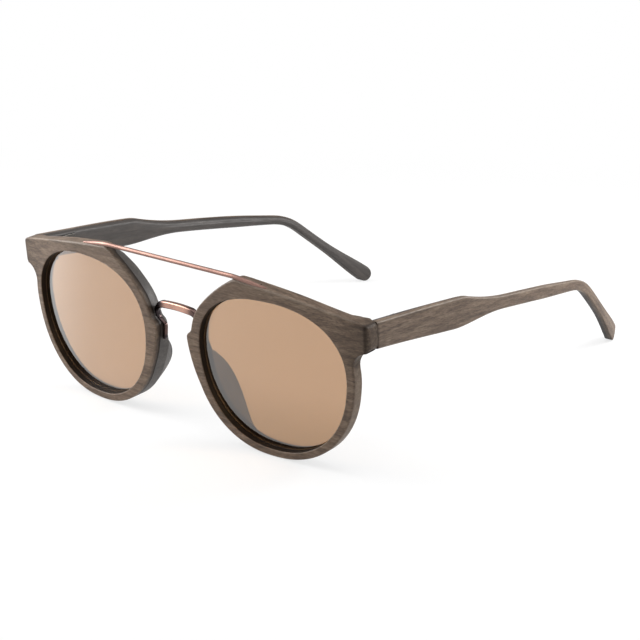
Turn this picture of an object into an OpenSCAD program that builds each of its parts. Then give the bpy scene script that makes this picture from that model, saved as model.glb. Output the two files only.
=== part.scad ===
// Double-bridge wooden sunglasses: two laminated wood rims held together by a metal brow bar and a
// lower bridge, tinted lenses, and two laminated temples on screwed barrel hinges.
// Millimetres. The front looks along -Y, the temples run to +Y, and Z = 0 is the table.

/* [Lenses] */
// Width of each lens opening at its middle
lens_w = 48.6; // [44:0.2:54]
// Height of each lens opening
lens_h = 42.8; // [38:0.2:48]
// Distance between the two lens openings at their middle
lens_gap = 22.8; // [19:0.2:28]
// Squareness of the lens outline, where 2 is an ellipse
lens_square = 2.28; // [2:0.02:2.6]
// Extra width of the lens outline above its middle, as a share of its width
lens_panto = 0.11; // [0.04:0.01:0.16]
// Thickness of each lens
lens_t = 1.6; // [1.2:0.1:1.8]
// Radius of the lens front surface
lens_r = 320; // [260:5:450]
// Depth of the lens middle behind the front face of the rim
lens_depth = 2.9; // [2.6:0.05:3]
// Depth of the groove that holds the lens edge
groove_d = 0.7; // [0.4:0.1:1]
// Clearance between the lens and its groove
lens_clear = 0.06; // [0.03:0.01:0.1]

/* [Rims] */
// Thickness of the front wood layer
rim_front_t = 2.0; // [1.7:0.1:2.2]
// Thickness of the dark back layer
rim_back_t = 3.8; // [3.7:0.1:4.6]
// Share of the rim's width that is rounded off at its back edge
back_round = 0.8; // [0.3:0.05:0.85]
// Radius of the front's horizontal curve
front_r = 455; // [380:5:700]
// Forward lean of the front in degrees
front_lean = 4.6; // [2:0.2:8]
// Width of the rim below the lens
rim_bottom_w = 2.4; // [2:0.1:4]
// Width of the rim beside the lens, temple side
rim_temporal_w = 2.7; // [2.4:0.1:4]
// Width of the rim beside the lens, nose side
rim_nasal_w = 3.4; // [3:0.1:4.4]
// Width of the brow above the middle of the lens
brow_w = 3.9; // [3.4:0.1:5.5]
// Fall of the brow line towards the temple, in degrees
brow_slope = 6.8; // [3:0.2:9]
// Radius of the brow line's arch
brow_r = 420; // [300:10:900]
// Distance of the brow's nasal corner from the lens middle
brow_corner = 10.2; // [7:0.2:13]
// Height of the rim's nasal shoulder above the lens middle
shoulder_v = 16; // [13:0.5:17]
// Bulge of the shoulder between the brow's corner and the rim's oval
shoulder_bulge = 0.7; // [0.2:0.1:1.5]
// Height of the notch above the lens middle
notch_v = 6.3; // [4:0.1:8]
// How far the nose flare stands out below the notch
flare_w = 1.8; // [1:0.1:2.6]
// Length of the nose flare below the notch
flare_l = 14; // [9:0.5:17]

/* [End pieces] */
// Overhang of the end piece past the rim's temple side
end_reach = 4.8; // [4:0.1:7]
// Height of the end piece's underside above the lens middle
end_v = 12.6; // [11.6:0.1:14]
// Radius of the fillet under the end piece
end_fillet = 4.6; // [2.5:0.1:6]
// Radius of the end piece's upright front edge
end_edge_r = 3.0; // [0.8:0.1:3.4]
// Width of the flat on the back of the end piece
end_flat = 10.8; // [10.2:0.1:13]

/* [Metal bridges] */
// Radius of the brow bar
bar_r = 0.8; // [0.65:0.05:1]
// Length of each brow bar tail that lies in a rim's top edge
bar_tail = 11.5; // [9:0.5:14]
// Height of the brow bar's axis above the brow line
bar_rise = 0.4; // [0.2:0.05:0.5]
// Depth of the brow bar's axis behind the rim's front face
bar_in = 0.6; // [0.5:0.05:0.65]
// Radius of the studs under the brow bar
stud_r = 0.45; // [0.3:0.05:0.5]
// Length of the studs under the brow bar
stud_l = 2.4; // [1.6:0.1:2.8]
// Height of the lower bridge strap
strap_h = 2.1; // [1.6:0.1:2.8]
// Depth of the lower bridge strap and its legs
strap_t = 1.8; // [1.4:0.1:2]
// Depth of the strap's front behind the foremost point of the front
strap_d = 2.5; // [2.45:0.05:2.8]
// Width of the strap between its bends
strap_w = 10.4; // [8:0.2:13]
// Rise of the strap's middle over its bends
strap_arch = 0.25; // [0.1:0.05:0.8]
// Height of the strap's top above the lens middle, at its bends
strap_v = 13; // [11:0.1:14]
// Height over which the strap bends down into its legs
strap_drop = 4.2; // [3.4:0.1:5]
// Thickness of the strap's legs
leg_t = 1.1; // [0.9:0.1:1.4]
// Depth of the legs in the rims
leg_inlay = 0.6; // [0.4:0.1:0.8]
// Height of the legs' lower ends above the lens middle
leg_v = 1.0; // [-1:0.5:2]
// Radius of the pins through the legs
leg_pin_r = 0.4; // [0.3:0.05:0.5]
// Length of the pins in the rims
leg_pin_l = 1.5; // [1:0.1:1.7]

/* [Nose pads] */
// Height of each pad behind the rim
pad_d = 5.2; // [3:0.1:6]
// Length of each pad along the rim
pad_l = 23; // [18:0.5:26]
// Angle of the pad's middle round the lens, from the temple side
pad_at = 205; // [198:1:212]
// Slope of the pad's nose face, in degrees from straight back
pad_slope = 33; // [20:1:42]

/* [Hinges] */
// Radius of the hinge knuckles
knuckle_r = 1.25; // [1.05:0.05:1.4]
// Height of the hinge over its three knuckles
hinge_h = 5.4; // [4.8:0.1:6]
// Height of the temple's knuckle
mid_knuckle_h = 2.0; // [1.6:0.1:2.4]
// Axial gap between knuckles
knuckle_gap = 0.06; // [0.04:0.01:0.1]
// Clearance round the knuckles
knuckle_clear = 0.2; // [0.15:0.05:0.3]
// Thickness of the hinge leaves
leaf_t = 0.9; // [0.7:0.05:1]
// Length of the temple's hinge leaf
leaf_l = 9; // [8:0.5:12]
// Radius of the hinge screw
hinge_screw_r = 0.65; // [0.5:0.05:0.75]
// Radius of the hinge screw's head
hinge_head_r = 1.05; // [0.95:0.05:1.2]
// Height of the hinge screw's head
hinge_head_h = 0.6; // [0.4:0.1:0.9]
// Running clearance of the hinge screw
pin_clear = 0.03; // [0.02:0.01:0.05]
// Radius of the leaf screws
leaf_screw_r = 0.45; // [0.35:0.05:0.55]
// Radius of the leaf screws' heads
leaf_head_r = 0.8; // [0.65:0.05:0.95]
// Length of the leaf screws in the wood
leaf_screw_l = 1.5; // [1:0.1:1.7]

/* [Temples] */
// Length of each temple along its middle line
temple_len = 155; // [140:1:162]
// Length from the ear bend to the tip
ear_len = 45.5; // [36:0.5:54]
// Length of the ear bend itself
ear_bend_len = 17; // [10:1:24]
// Slope of the temple at the hinge, in degrees below level
slope_root = 3.6; // [2:0.2:6]
// Slope of the temple just before the ear bend
slope_bend = 8.6; // [6:0.2:11]
// Slope of the temple behind the ear
slope_ear = 37.5; // [30:0.5:42]
// Height of the temple at the hinge
root_h = 7.7; // [7:0.1:8.6]
// Height of the temple at its widest
wide_h = 8.7; // [8:0.1:11]
// Distance of the widest place from the hinge
wide_at = 34; // [26:0.5:42]
// Distance by which the top edge starts to narrow after the bottom edge
top_lag = 8; // [0:0.5:14]
// Height of the temple past its neck
neck_h = 3.9; // [3.4:0.1:6]
// Length of the neck from the widest place
neck_l = 30; // [20:0.5:40]
// Height of the temple tip
tip_h = 5.6; // [4.6:0.1:8]
// Thickness of the outer wood layer
temple_out_t = 1.8; // [1.6:0.05:2.2]
// Thickness of the dark inner layer
temple_in_t = 1.8; // [1.75:0.05:2.2]
// Length of the straight stretch seen from above
straight_l = 26; // [20:1:40]
// Radius of the inward curve seen from above
plan_r = 700; // [500:10:900]
// Radius of the tighter inward curve behind the ear
ear_plan_r = 180; // [140:5:400]
// Gap between the temple and the end piece
seam_gap = 0.15; // [0.1:0.05:0.3]
// Thickness of the metal core
core_t = 1.0; // [0.6:0.1:1.2]
// Height of the metal core
core_h = 1.8; // [1.2:0.1:2.2]
// Distance of the core's ends from the temple's ends
core_end = 13; // [12:0.5:25]

/* [Hidden] */
$fn = 40;
big_fn = 720;

walnut = "#7a6a5c";
ebony = "#3b3634";
copper = "#c08e7c";
steel = "#8a8a88";
tint = [0.72, 0.56, 0.42, 0.6];

// Lens outline: a squared oval that is wider above its middle, in coordinates x across and v up
outline_steps = 72;
lens_a = lens_w / 2;
lens_b = lens_h / 2;
lens_x = lens_gap / 2 + lens_a;
lens_v = rim_bottom_w + lens_b;
function signed_pow(u, e) = sign(u) * pow(abs(u), e);
function oval_point(x, a, b, t) =
    let (c = signed_pow(cos(t), 2 / lens_square), s = signed_pow(sin(t), 2 / lens_square))
    [x + a * c * (1 + lens_panto * s), lens_v + b * s];
function oval(grow) =
    [for (i = [0:outline_steps - 1])
        oval_point(lens_x, lens_a + grow, lens_b + grow, 360 * i / outline_steps)];

// Outer oval of the rim, and its angle and reach at a height v
rim_a = lens_a + (rim_nasal_w + rim_temporal_w) / 2;
rim_b = lens_b + rim_bottom_w;
rim_x = lens_x + (rim_temporal_w - rim_nasal_w) / 2;
function rim_angle(v) = asin(signed_pow((v - lens_v) / rim_b, lens_square / 2));
function rim_nasal_x(v) = oval_point(rim_x, rim_a, rim_b, 180 - rim_angle(v))[0];
function rim_temporal_x(v) = oval_point(rim_x, rim_a, rim_b, rim_angle(v))[0];

// Front surface: a large upright cylinder, its depth at x, and the flat on the end piece's back
rim_t = rim_front_t + rim_back_t;
function front_depth(x) = front_r - sqrt(front_r * front_r - x * x);
lean_y = front_depth(lens_x);
reach_d = 30;
above_v = 80;
edge_v = 1;

// Brow line and end piece
function brow_v(x) =
    lens_v + lens_b + brow_w - tan(brow_slope) * (x - lens_x) - pow(x - lens_x, 2) / (2 * brow_r);
end_bottom = lens_v + end_v;
fillet_v = end_bottom - end_fillet;
wall_x = rim_temporal_x(fillet_v);
end_x = wall_x + end_reach;
end_round = 1.2;
corner_x = lens_x - brow_corner;
flat_x = end_x - end_flat;
seam_d = front_depth(flat_x) + rim_t;
// Notch and flare on the nose side
notch_top = lens_v + notch_v + 1.4;
notch_tip = lens_v + notch_v;
flare_low = notch_tip - flare_l;
function flare_x(v) = rim_nasal_x(v) - flare_w * (v - flare_low) / flare_l;

// Outline of the rim. A share f of 0 is its full outline, and a larger share draws the outline in
// towards the lens, but not at the end piece or where the nose pad sits.
function steps(a, b, n) = [for (i = [0:n]) a + (b - a) * i / n];
function clamped(u) = min(max(u, 0), 1);
function mix(p, q, f) = p + (q - p) * f;
function rim_point(t, f) =
    mix(oval_point(rim_x, rim_a, rim_b, t), oval_point(lens_x, lens_a, lens_b, t), f);
function clear_of_end(x) = clamped((flat_x + 4 - x) / 12);
function clear_of_pad(t) = clamped((abs(t - pad_at) - pad_span) / 15);
pad_span = asin(pad_l / 2 / lens_a);
shoulder_t = 180 - rim_angle(lens_v + shoulder_v);
function shoulder_point(u, f) =
    let (p = [corner_x + f * brow_w / 3, brow_v(corner_x) - f * brow_w], q = rim_point(shoulder_t, f))
    mix(p, q, u) + shoulder_bulge * 4 * u * (1 - u) * [-sin(50), cos(50)];
function rim_outline(f) = concat(
    [for (t = steps(180, 90, 8)) let (r = end_fillet + f * rim_temporal_w * (t - 90) / 90)
        [wall_x + end_fillet + r * cos(t), fillet_v + r * sin(t)]],
    [[end_x, end_bottom]],
    [for (t = steps(0, 90, 4))
        [end_x - end_round * (1 - cos(t)), brow_v(end_x) - end_round * (1 - sin(t))]],
    [for (x = steps(end_x - 2 * end_round, corner_x + 2 * end_round, 9))
        [x, brow_v(x) - f * brow_w * clear_of_end(x)]],
    [for (u = steps(0, 1, 5)) shoulder_point(u, f)],
    [for (t = steps(shoulder_t + 4, 180 - rim_angle(notch_top), 7)) rim_point(t, f)],
    [for (v = steps(notch_tip, flare_low, 6))
        [flare_x(v) + f * rim_nasal_w * clamped((v - lens_v) / notch_v), v]],
    [for (t = steps(186 - rim_angle(flare_low), 354 + rim_angle(fillet_v), 40))
        rim_point(t, f * clear_of_pad(t))]
);

// Brow bar: straight between the rims, with tails that follow the rims' top edges
bar_clear = 0.02;
bar_bead = 0.05;
function bar_point(x) = [x, front_depth(x) + bar_in, brow_v(x) + bar_rise];
bar_bend = bar_point(corner_x - bar_r);
bar_end = bar_point(corner_x - bar_r + bar_tail);
bar_way = bar_end - bar_bend;
stud_places = [mix(bar_bend, bar_end, 0.45), mix(bar_bend, bar_end, 0.8)];

// Lower bridge: heights of its strap, bends and legs
strap_x = strap_w / 2;
strap_top = lens_v + strap_v;
leg_top = strap_top - strap_drop;
leg_low = lens_v + leg_v;
leg_pin_vs = [leg_low + 2, leg_top - 0.8];
leg_d = strap_d + strap_t / 2;
function leg_in_x(v) = rim_nasal_x(v) + leg_inlay;
function strap_edge(v) = [for (u = steps(0, 0.9, 6)) [strap_x * u, v + strap_arch * (1 - u * u)]];
function strap_bend(x, v) =
    [for (t = steps(0, 90, 6)) [strap_x + (x - strap_x) * sin(t), leg_top + (v - leg_top) * cos(t)]];
function leg_edge(x) = [for (v = steps(leg_top, leg_low, 8)) [leg_in_x(v) - x, v]];
function half_bridge() = concat(
    strap_edge(strap_top),
    strap_bend(leg_in_x(leg_top), strap_top),
    leg_edge(0),
    reversed(leg_edge(leg_t)),
    reversed(strap_bend(leg_in_x(leg_top) - leg_t, strap_top - strap_h)),
    reversed(strap_edge(strap_top - strap_h))
);
function reversed(points) = [for (i = [len(points) - 1:-1:0]) points[i]];
function mirrored(points) = [for (p = points) [-p[0], p[1]]];
function inner_points(points) = [for (i = [1:len(points) - 2]) points[i]];

// Seam between end piece and temple: the flat's plane, leaning with the front
function seam_y(z) =
    lean_y + (seam_d - lean_y) * cos(front_lean)
    - tan(front_lean) * (z - (seam_d - lean_y) * sin(front_lean));
function lean_z(v, d) = (d - lean_y) * sin(front_lean) + v * cos(front_lean);
hinge_v = (end_bottom + brow_v(end_x)) / 2;
hinge_z = lean_z(hinge_v, seam_d);
temple_t = temple_out_t + temple_in_t;
temple_x = end_x - temple_out_t;
inner_x = end_x - temple_t;
hinge_x = inner_x - knuckle_r - knuckle_clear;
hinge_y = seam_y(hinge_z) + knuckle_r + knuckle_clear + hinge_h / 2 * tan(front_lean);
end_knuckle_h = (hinge_h - mid_knuckle_h) / 2 - knuckle_gap;
front_leaf_x0 = flat_x + 0.3;
front_leaf_x1 = hinge_x - knuckle_r - knuckle_clear;
temple_leaf_y0 = hinge_y + knuckle_r + knuckle_clear + 0.1;
front_screw_x = (front_leaf_x0 + front_leaf_x1) / 2;
front_screw_vs = [hinge_v - hinge_h / 4, hinge_v + hinge_h / 4];
temple_screw_ys = [temple_leaf_y0 + 1.6, temple_leaf_y0 + leaf_l - 1.6];
leaf_screw_clear = 0.02;

// Temple middle line: its slope changes along its length s, and the points add up from it
path_step = 2;
bend_start = temple_len - ear_len - ear_bend_len / 2;
function ease(u) = let (w = clamped(u)) w * w * (3 - 2 * w);
function slope(s) =
    slope_root + (slope_bend - slope_root) * min(s / bend_start, 1)
    + (slope_ear - slope_bend) * ease((s - bend_start) / ear_bend_len);
function temple_h(s, wide) =
    s < wide ? root_h + (wide_h - root_h) * ease(s / wide)
    : s < wide + neck_l ? neck_h + (wide_h - neck_h) * pow(1 - (s - wide) / neck_l, 2)
    : neck_h + (tip_h - neck_h) * ease((s - bend_start) / (temple_len - bend_start));
path_n = floor((temple_len - tip_h / 2) / path_step);
root_y = seam_y(hinge_z) + seam_gap;
function path(i, p) =
    i >= path_n ? [p]
    : let (s = i * path_step, a = slope(s + path_step / 2))
      concat([p], path(i + 1, [p[0] + path_step * cos(a), p[1] - path_step * sin(a)]));
middle = path(0, [root_y, hinge_z]);
function side_point(i, h) =
    let (a = slope(i * path_step)) [middle[i][0] + h * sin(a), middle[i][1] + h * cos(a)];
tip_c = middle[path_n];
tip_a = slope(path_n * path_step);
function temple_outline() = concat(
    [[seam_y(hinge_z + root_h / 2) + seam_gap, hinge_z + root_h / 2]],
    [for (i = [1:path_n]) side_point(i, temple_h(i * path_step, wide_at + top_lag) / 2)],
    [for (t = steps(75, -75, 10))
        [tip_c[0] + tip_h / 2 * cos(t - tip_a), tip_c[1] + tip_h / 2 * sin(t - tip_a)]],
    [for (i = [path_n:-1:1]) side_point(i, -temple_h(i * path_step, wide_at) / 2)],
    [[seam_y(hinge_z - root_h / 2) + seam_gap, hinge_z - root_h / 2]]
);
core_i0 = ceil(core_end / path_step);
core_i1 = path_n - core_i0 + ceil(tip_h / 2 / path_step);
function core_outline(grow) = concat(
    [for (i = [core_i0:core_i1]) side_point(i, core_h / 2 + grow)],
    [for (i = [core_i1:-1:core_i0]) side_point(i, -core_h / 2 - grow)]
);
curve_y = root_y + straight_l;
ear_y = middle[floor((bend_start + ear_bend_len / 2) / path_step)][0];
ear_turn = asin((ear_y - curve_y) / plan_r);
tip_turn = ear_turn + asin((2 * ear_len) / ear_plan_r);
plan_c = [temple_x - plan_r, curve_y];
ear_c = plan_c + (plan_r - ear_plan_r) * [cos(ear_turn), sin(ear_turn)];
// Line of the temple seen from above, at a distance out from its layers' joint: straight, then
// curving in, then more tightly behind the ear
function plan_line(out) = concat(
    [[temple_x + out, 0]],
    [for (a = steps(0, ear_turn, 8)) plan_c + (plan_r + out) * [cos(a), sin(a)]],
    [for (a = steps(ear_turn + 2, tip_turn, 8)) ear_c + (ear_plan_r + out) * [cos(a), sin(a)]]
);
core_clear = 0.02;

// Places its children in the front's own upright frame and leans them forward
module front_frame() {
    translate([0, lean_y, 0])
        rotate([front_lean, 0, 0])
            translate([0, -lean_y, 0])
                children();
}

// Extrudes an outline in x and v from depth d0 to d1
module slab(d0, d1) {
    translate([0, d1, 0])
        rotate([90, 0, 0])
            linear_extrude(d1 - d0)
                children();
}

// Everything that lies deeper than inset behind the curved front face
module behind_front(inset) {
    translate([0, front_r, -above_v])
        cylinder(r = front_r - inset, h = 3 * above_v, $fn = big_fn);
}

// The left rim's ring, from in front of it to far behind
module rim_ring() {
    slab(-edge_v, reach_d)
        difference() {
            polygon(rim_outline(0));
            polygon(oval(0));
        }
}

// The left rim's back layer with its outer back edge rounded off: rings of its outline, each drawn
// further in and set deeper
module rounded_rim() {
    turns = steps(0, 90, 4);
    rings = concat(
        [[for (p = rim_outline(0)) [p[0], -edge_v, p[1]]]],
        [for (t = turns) [for (p = rim_outline(back_round * (1 - cos(t))))
            [p[0], front_depth(p[0]) + rim_front_t + rim_back_t * sin(t), p[1]]]],
        [[for (p = rim_outline(back_round)) [p[0], reach_d, p[1]]]]
    );
    n = len(rings[0]);
    last = len(rings) - 1;
    hub = [(corner_x + 2 * flat_x) / 3, (end_bottom + 2 * brow_v(flat_x)) / 3];
    caps = [[hub[0], -edge_v, hub[1]], [hub[0], reach_d, hub[1]]];
    first_cap = len(rings) * n;
    polyhedron(
        points = concat([for (ring = rings) each ring], caps),
        faces = concat(
            [for (i = [0:n - 1]) [first_cap, (i + 1) % n, i]],
            [for (k = [0:last - 1]) for (i = [0:n - 1])
                let (a = k * n + i, b = k * n + (i + 1) % n) each [[a, b, b + n], [a, b + n, a + n]]],
            [for (i = [0:n - 1]) [first_cap + 1, last * n + i, last * n + (i + 1) % n]]
        )
    );
}

// Solid of a lens, grown all round by clear
module lens_solid(clear) {
    tilt = asin(lens_x / front_r);
    behind = lens_depth + lens_r;
    centre = [lens_x - behind * sin(tilt), lean_y + behind * cos(tilt), lens_v];
    difference() {
        intersection() {
            slab(0, reach_d)
                polygon(oval(groove_d - lens_clear + clear));
            translate(centre)
                sphere(r = lens_r + clear, $fn = big_fn);
        }
        translate(centre)
            sphere(r = lens_r - lens_t - clear, $fn = big_fn);
    }
}

// Round bar along X from x0 to x1 at depth d and height v
module bar_along_x(x0, x1, d, v, r) {
    translate([x0, d, v])
        rotate([0, 90, 0])
            cylinder(r = r, h = x1 - x0);
}

// The brow bar with its tails
module bar_solid(clear) {
    $fn = 64;
    bar_along_x(-bar_bend[0], bar_bend[0], bar_bend[1], bar_bend[2], bar_r + clear);
    for (side = [0, 1])
        mirror([side, 0, 0]) {
            translate(bar_bend)
                sphere(r = bar_r + clear + bar_bead);
            translate(bar_bend)
                rotate([0, acos(bar_way[2] / norm(bar_way)), atan2(bar_way[1], bar_way[0])])
                    cylinder(r = bar_r + clear, h = norm(bar_way) + clear);
        }
}

// Studs under the left tail of the brow bar, in the middle of the front layer
module bar_studs(clear) {
    for (place = stud_places)
        translate([place[0], place[1] - bar_in + rim_front_t / 2, place[2] - bar_r - stud_l])
            cylinder(r = stud_r + clear, h = stud_l + bar_r);
}

// Outline of the slot for the strap's left leg, open towards the nose
module leg_slot_outline() {
    low = leg_low - bar_clear;
    face = strap_bend(leg_in_x(leg_top) + bar_clear, strap_top + bar_clear);
    polygon(concat(
        face,
        [for (v = steps(leg_top, low, 8)) [leg_in_x(v) + bar_clear, v]],
        [[strap_x, low]]
    ));
}

// Pins through the left leg
module leg_pins(clear) {
    for (v = leg_pin_vs)
        bar_along_x(leg_in_x(v) - leg_t, leg_in_x(v) + leg_pin_l + clear, leg_d, v, leg_pin_r + clear);
}

// Screws of the left front leaf, with heads sunk flush
module front_screws(clear) {
    for (v = front_screw_vs)
        translate([front_screw_x, seam_d + leaf_t, v])
            rotate([90, 0, 0])
                leaf_screw(clear);
}

// Screws of the left temple leaf
module temple_screws(clear) {
    for (y = temple_screw_ys)
        translate([inner_x - leaf_t, y, hinge_z])
            rotate([0, 90, 0])
                leaf_screw(clear);
}

// One leaf screw, its head's face at the origin, pointing along +Z
module leaf_screw(clear) {
    cylinder(r = leaf_head_r + clear, h = leaf_t / 2 + clear);
    cylinder(r = leaf_screw_r + clear, h = leaf_t + leaf_screw_l + clear);
}

// Half space in front of the seam plane
module before_seam() {
    front_frame()
        translate([-2 * end_x, seam_d - reach_d, -above_v])
            cube([4 * end_x, reach_d, 3 * above_v]);
}

// A length of the hinge's axis, from z0 up, in one radius
module axis_cylinder(r, z0, h) {
    translate([hinge_x, hinge_y, z0])
        cylinder(r = r, h = h);
}

// One layer of the left temple
module temple_layer(in, out, points) {
    intersection() {
        rotate([90, 0, 90])
            linear_extrude(2 * end_x)
                polygon(points);
        translate([0, 0, -above_v])
            linear_extrude(3 * above_v)
                polygon(concat(plan_line(out), reversed(plan_line(in))));
    }
}

module core_solid(clear) {
    temple_layer(-core_t / 2 - clear, core_t / 2 + clear, core_outline(clear));
}

// What the rounding of the end piece's upright front edge takes away
module end_edge() {
    middle_x = end_x - end_edge_r;
    middle_d = front_depth(middle_x) + end_edge_r;
    difference() {
        translate([middle_x, middle_d - end_edge_r - edge_v, -edge_v])
            cube([end_edge_r + edge_v, end_edge_r + edge_v, above_v]);
        translate([middle_x, middle_d, -above_v])
            cylinder(r = end_edge_r, h = 3 * above_v);
    }
}

module rim_front() {
    front_frame()
        difference() {
            intersection() {
                rim_ring();
                behind_front(0);
            }
            behind_front(rim_front_t);
            bar_solid(bar_clear);
            bar_studs(bar_clear);
            end_edge();
        }
}

module rim_back() {
    front_frame()
        difference() {
            intersection() {
                rounded_rim();
                behind_front(rim_front_t);
            }
            behind_front(rim_t);
            slab(-edge_v, reach_d)
                polygon(oval(0));
            lens_solid(lens_clear);
            slab(strap_d - bar_clear, strap_d + strap_t + bar_clear)
                leg_slot_outline();
            end_edge();
            leg_pins(bar_clear);
            front_screws(leaf_screw_clear);
            translate([flat_x, seam_d, -edge_v])
                cube([end_x, reach_d, above_v]);
        }
}

module lens() {
    front_frame()
        lens_solid(0);
}

// Nose pad: the nose side of the rim drawn out behind it, domed along its length and sloped inwards
module nose_pad() {
    dome_r = (pad_l * pad_l / 4 + pad_d * pad_d) / (2 * pad_d);
    inner = oval_point(lens_x, lens_a, lens_b, pad_at);
    outer = oval_point(rim_x, rim_a, rim_b, pad_at);
    across = atan2(inner[1] - outer[1], inner[0] - outer[0]);
    back_d = front_depth(inner[0]) + rim_t;
    front_frame()
        difference() {
            intersection() {
                rim_ring();
                translate([inner[0], back_d + pad_d - dome_r, inner[1]])
                    rotate([0, 90 - across, 0])
                        translate([0, 0, -pad_l])
                            cylinder(r = dome_r, h = 2 * pad_l, $fn = 2 * $fn);
                behind_front(rim_t);
            }
            translate([outer[0], back_d, outer[1]])
                rotate([0, -across, 0])
                    rotate([0, 0, -pad_slope])
                        translate([-reach_d, -edge_v, -pad_l])
                            cube([reach_d, 2 * reach_d, 2 * pad_l]);
        }
}

module brow_bar() {
    color(copper)
        front_frame()
            bar_solid(0);
}

module brow_bar_studs() {
    color(steel)
        for (side = [0, 1])
            mirror([side, 0, 0])
                front_frame()
                    difference() {
                        bar_studs(0);
                        bar_solid(0);
                    }
}

// Lower bridge: an arched strap between the rims with a leg down each rim's nose side
module bridge() {
    color(copper)
        front_frame()
            difference() {
                slab(strap_d, strap_d + strap_t)
                    polygon(concat(half_bridge(), mirrored(inner_points(reversed(half_bridge())))));
                for (side = [0, 1])
                    mirror([side, 0, 0])
                        leg_pins(bar_clear);
            }
}

module bridge_pins() {
    color(steel)
        for (side = [0, 1])
            mirror([side, 0, 0])
                front_frame()
                    leg_pins(0);
}

// Leaf on the back of the end piece, with the upper and lower knuckles
module front_hinge_leaf() {
    difference() {
        union() {
            front_frame()
                translate([front_leaf_x0, seam_d, hinge_v - hinge_h / 2])
                    cube([front_leaf_x1 - front_leaf_x0, leaf_t, hinge_h]);
            for (z0 = [hinge_z - hinge_h / 2, hinge_z + hinge_h / 2 - end_knuckle_h]) {
                axis_cylinder(knuckle_r, z0, end_knuckle_h);
                translate([front_leaf_x1 - leaf_t, hinge_y - knuckle_r - leaf_t, z0])
                    cube([hinge_x - front_leaf_x1 + leaf_t, knuckle_r + leaf_t, end_knuckle_h]);
            }
        }
        before_seam();
        front_frame()
            front_screws(leaf_screw_clear);
        axis_cylinder(hinge_screw_r + pin_clear, hinge_z - hinge_h, 2 * hinge_h);
    }
}

// Leaf on the inside of the temple, with the middle knuckle
module temple_hinge_leaf() {
    difference() {
        union() {
            translate([inner_x - leaf_t, temple_leaf_y0, hinge_z - hinge_h / 2])
                cube([leaf_t, leaf_l, hinge_h]);
            axis_cylinder(knuckle_r, hinge_z - mid_knuckle_h / 2, mid_knuckle_h);
            translate([hinge_x, hinge_y, hinge_z - mid_knuckle_h / 2])
                cube([inner_x - hinge_x, temple_leaf_y0 - hinge_y + leaf_t, mid_knuckle_h]);
        }
        temple_screws(leaf_screw_clear);
        axis_cylinder(hinge_screw_r + pin_clear, hinge_z - hinge_h, 2 * hinge_h);
    }
}

module hinge_screw() {
    axis_cylinder(hinge_screw_r, hinge_z - hinge_h / 2, hinge_h);
    axis_cylinder(hinge_head_r, hinge_z + hinge_h / 2, hinge_head_h);
}

module temple_outer() {
    difference() {
        temple_layer(0, temple_out_t, temple_outline());
        core_solid(core_clear);
    }
}

module temple_lining() {
    difference() {
        temple_layer(-temple_in_t, 0, temple_outline());
        core_solid(core_clear);
        temple_screws(leaf_screw_clear);
    }
}

module left_rim_front() { color(walnut) rim_front(); }
module right_rim_front() { color(walnut) mirror([1, 0, 0]) rim_front(); }
module left_rim_back() { color(ebony) rim_back(); }
module right_rim_back() { color(ebony) mirror([1, 0, 0]) rim_back(); }
module left_lens() { color(tint) lens(); }
module right_lens() { color(tint) mirror([1, 0, 0]) lens(); }
module left_nose_pad() { color(ebony) nose_pad(); }
module right_nose_pad() { color(ebony) mirror([1, 0, 0]) nose_pad(); }
module left_front_hinge_leaf() { color(steel) front_hinge_leaf(); }
module right_front_hinge_leaf() { color(steel) mirror([1, 0, 0]) front_hinge_leaf(); }
module left_temple_hinge_leaf() { color(steel) temple_hinge_leaf(); }
module right_temple_hinge_leaf() { color(steel) mirror([1, 0, 0]) temple_hinge_leaf(); }
module left_hinge_screw() { color(steel) hinge_screw(); }
module right_hinge_screw() { color(steel) mirror([1, 0, 0]) hinge_screw(); }
module left_front_leaf_screws() { color(steel) front_frame() front_screws(0); }
module right_front_leaf_screws() { color(steel) mirror([1, 0, 0]) front_frame() front_screws(0); }
module left_temple_leaf_screws() { color(steel) temple_screws(0); }
module right_temple_leaf_screws() { color(steel) mirror([1, 0, 0]) temple_screws(0); }
module left_temple() { color(walnut) temple_outer(); }
module right_temple() { color(walnut) mirror([1, 0, 0]) temple_outer(); }
module left_temple_lining() { color(ebony) temple_lining(); }
module right_temple_lining() { color(ebony) mirror([1, 0, 0]) temple_lining(); }
module left_temple_core() { color(steel) core_solid(0); }
module right_temple_core() { color(steel) mirror([1, 0, 0]) core_solid(0); }

left_rim_front();
right_rim_front();
left_rim_back();
right_rim_back();
left_lens();
right_lens();
left_nose_pad();
right_nose_pad();
brow_bar();
brow_bar_studs();
bridge();
bridge_pins();
left_front_hinge_leaf();
right_front_hinge_leaf();
left_temple_hinge_leaf();
right_temple_hinge_leaf();
left_hinge_screw();
right_hinge_screw();
left_front_leaf_screws();
right_front_leaf_screws();
left_temple_leaf_screws();
right_temple_leaf_screws();
left_temple();
right_temple();
left_temple_lining();
right_temple_lining();
left_temple_core();
right_temple_core();
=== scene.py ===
"""Looks of the wooden double-bridge sunglasses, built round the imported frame.

Every shape is worked out in millimetres in numpy and put into its mesh in metres. The front is drawn
in its own upright frame, x across, d back from its foremost point and v up, and then leaned forward.
"""

import logging
import math
from dataclasses import dataclass, field
from enum import Enum
from typing import Any

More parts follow.
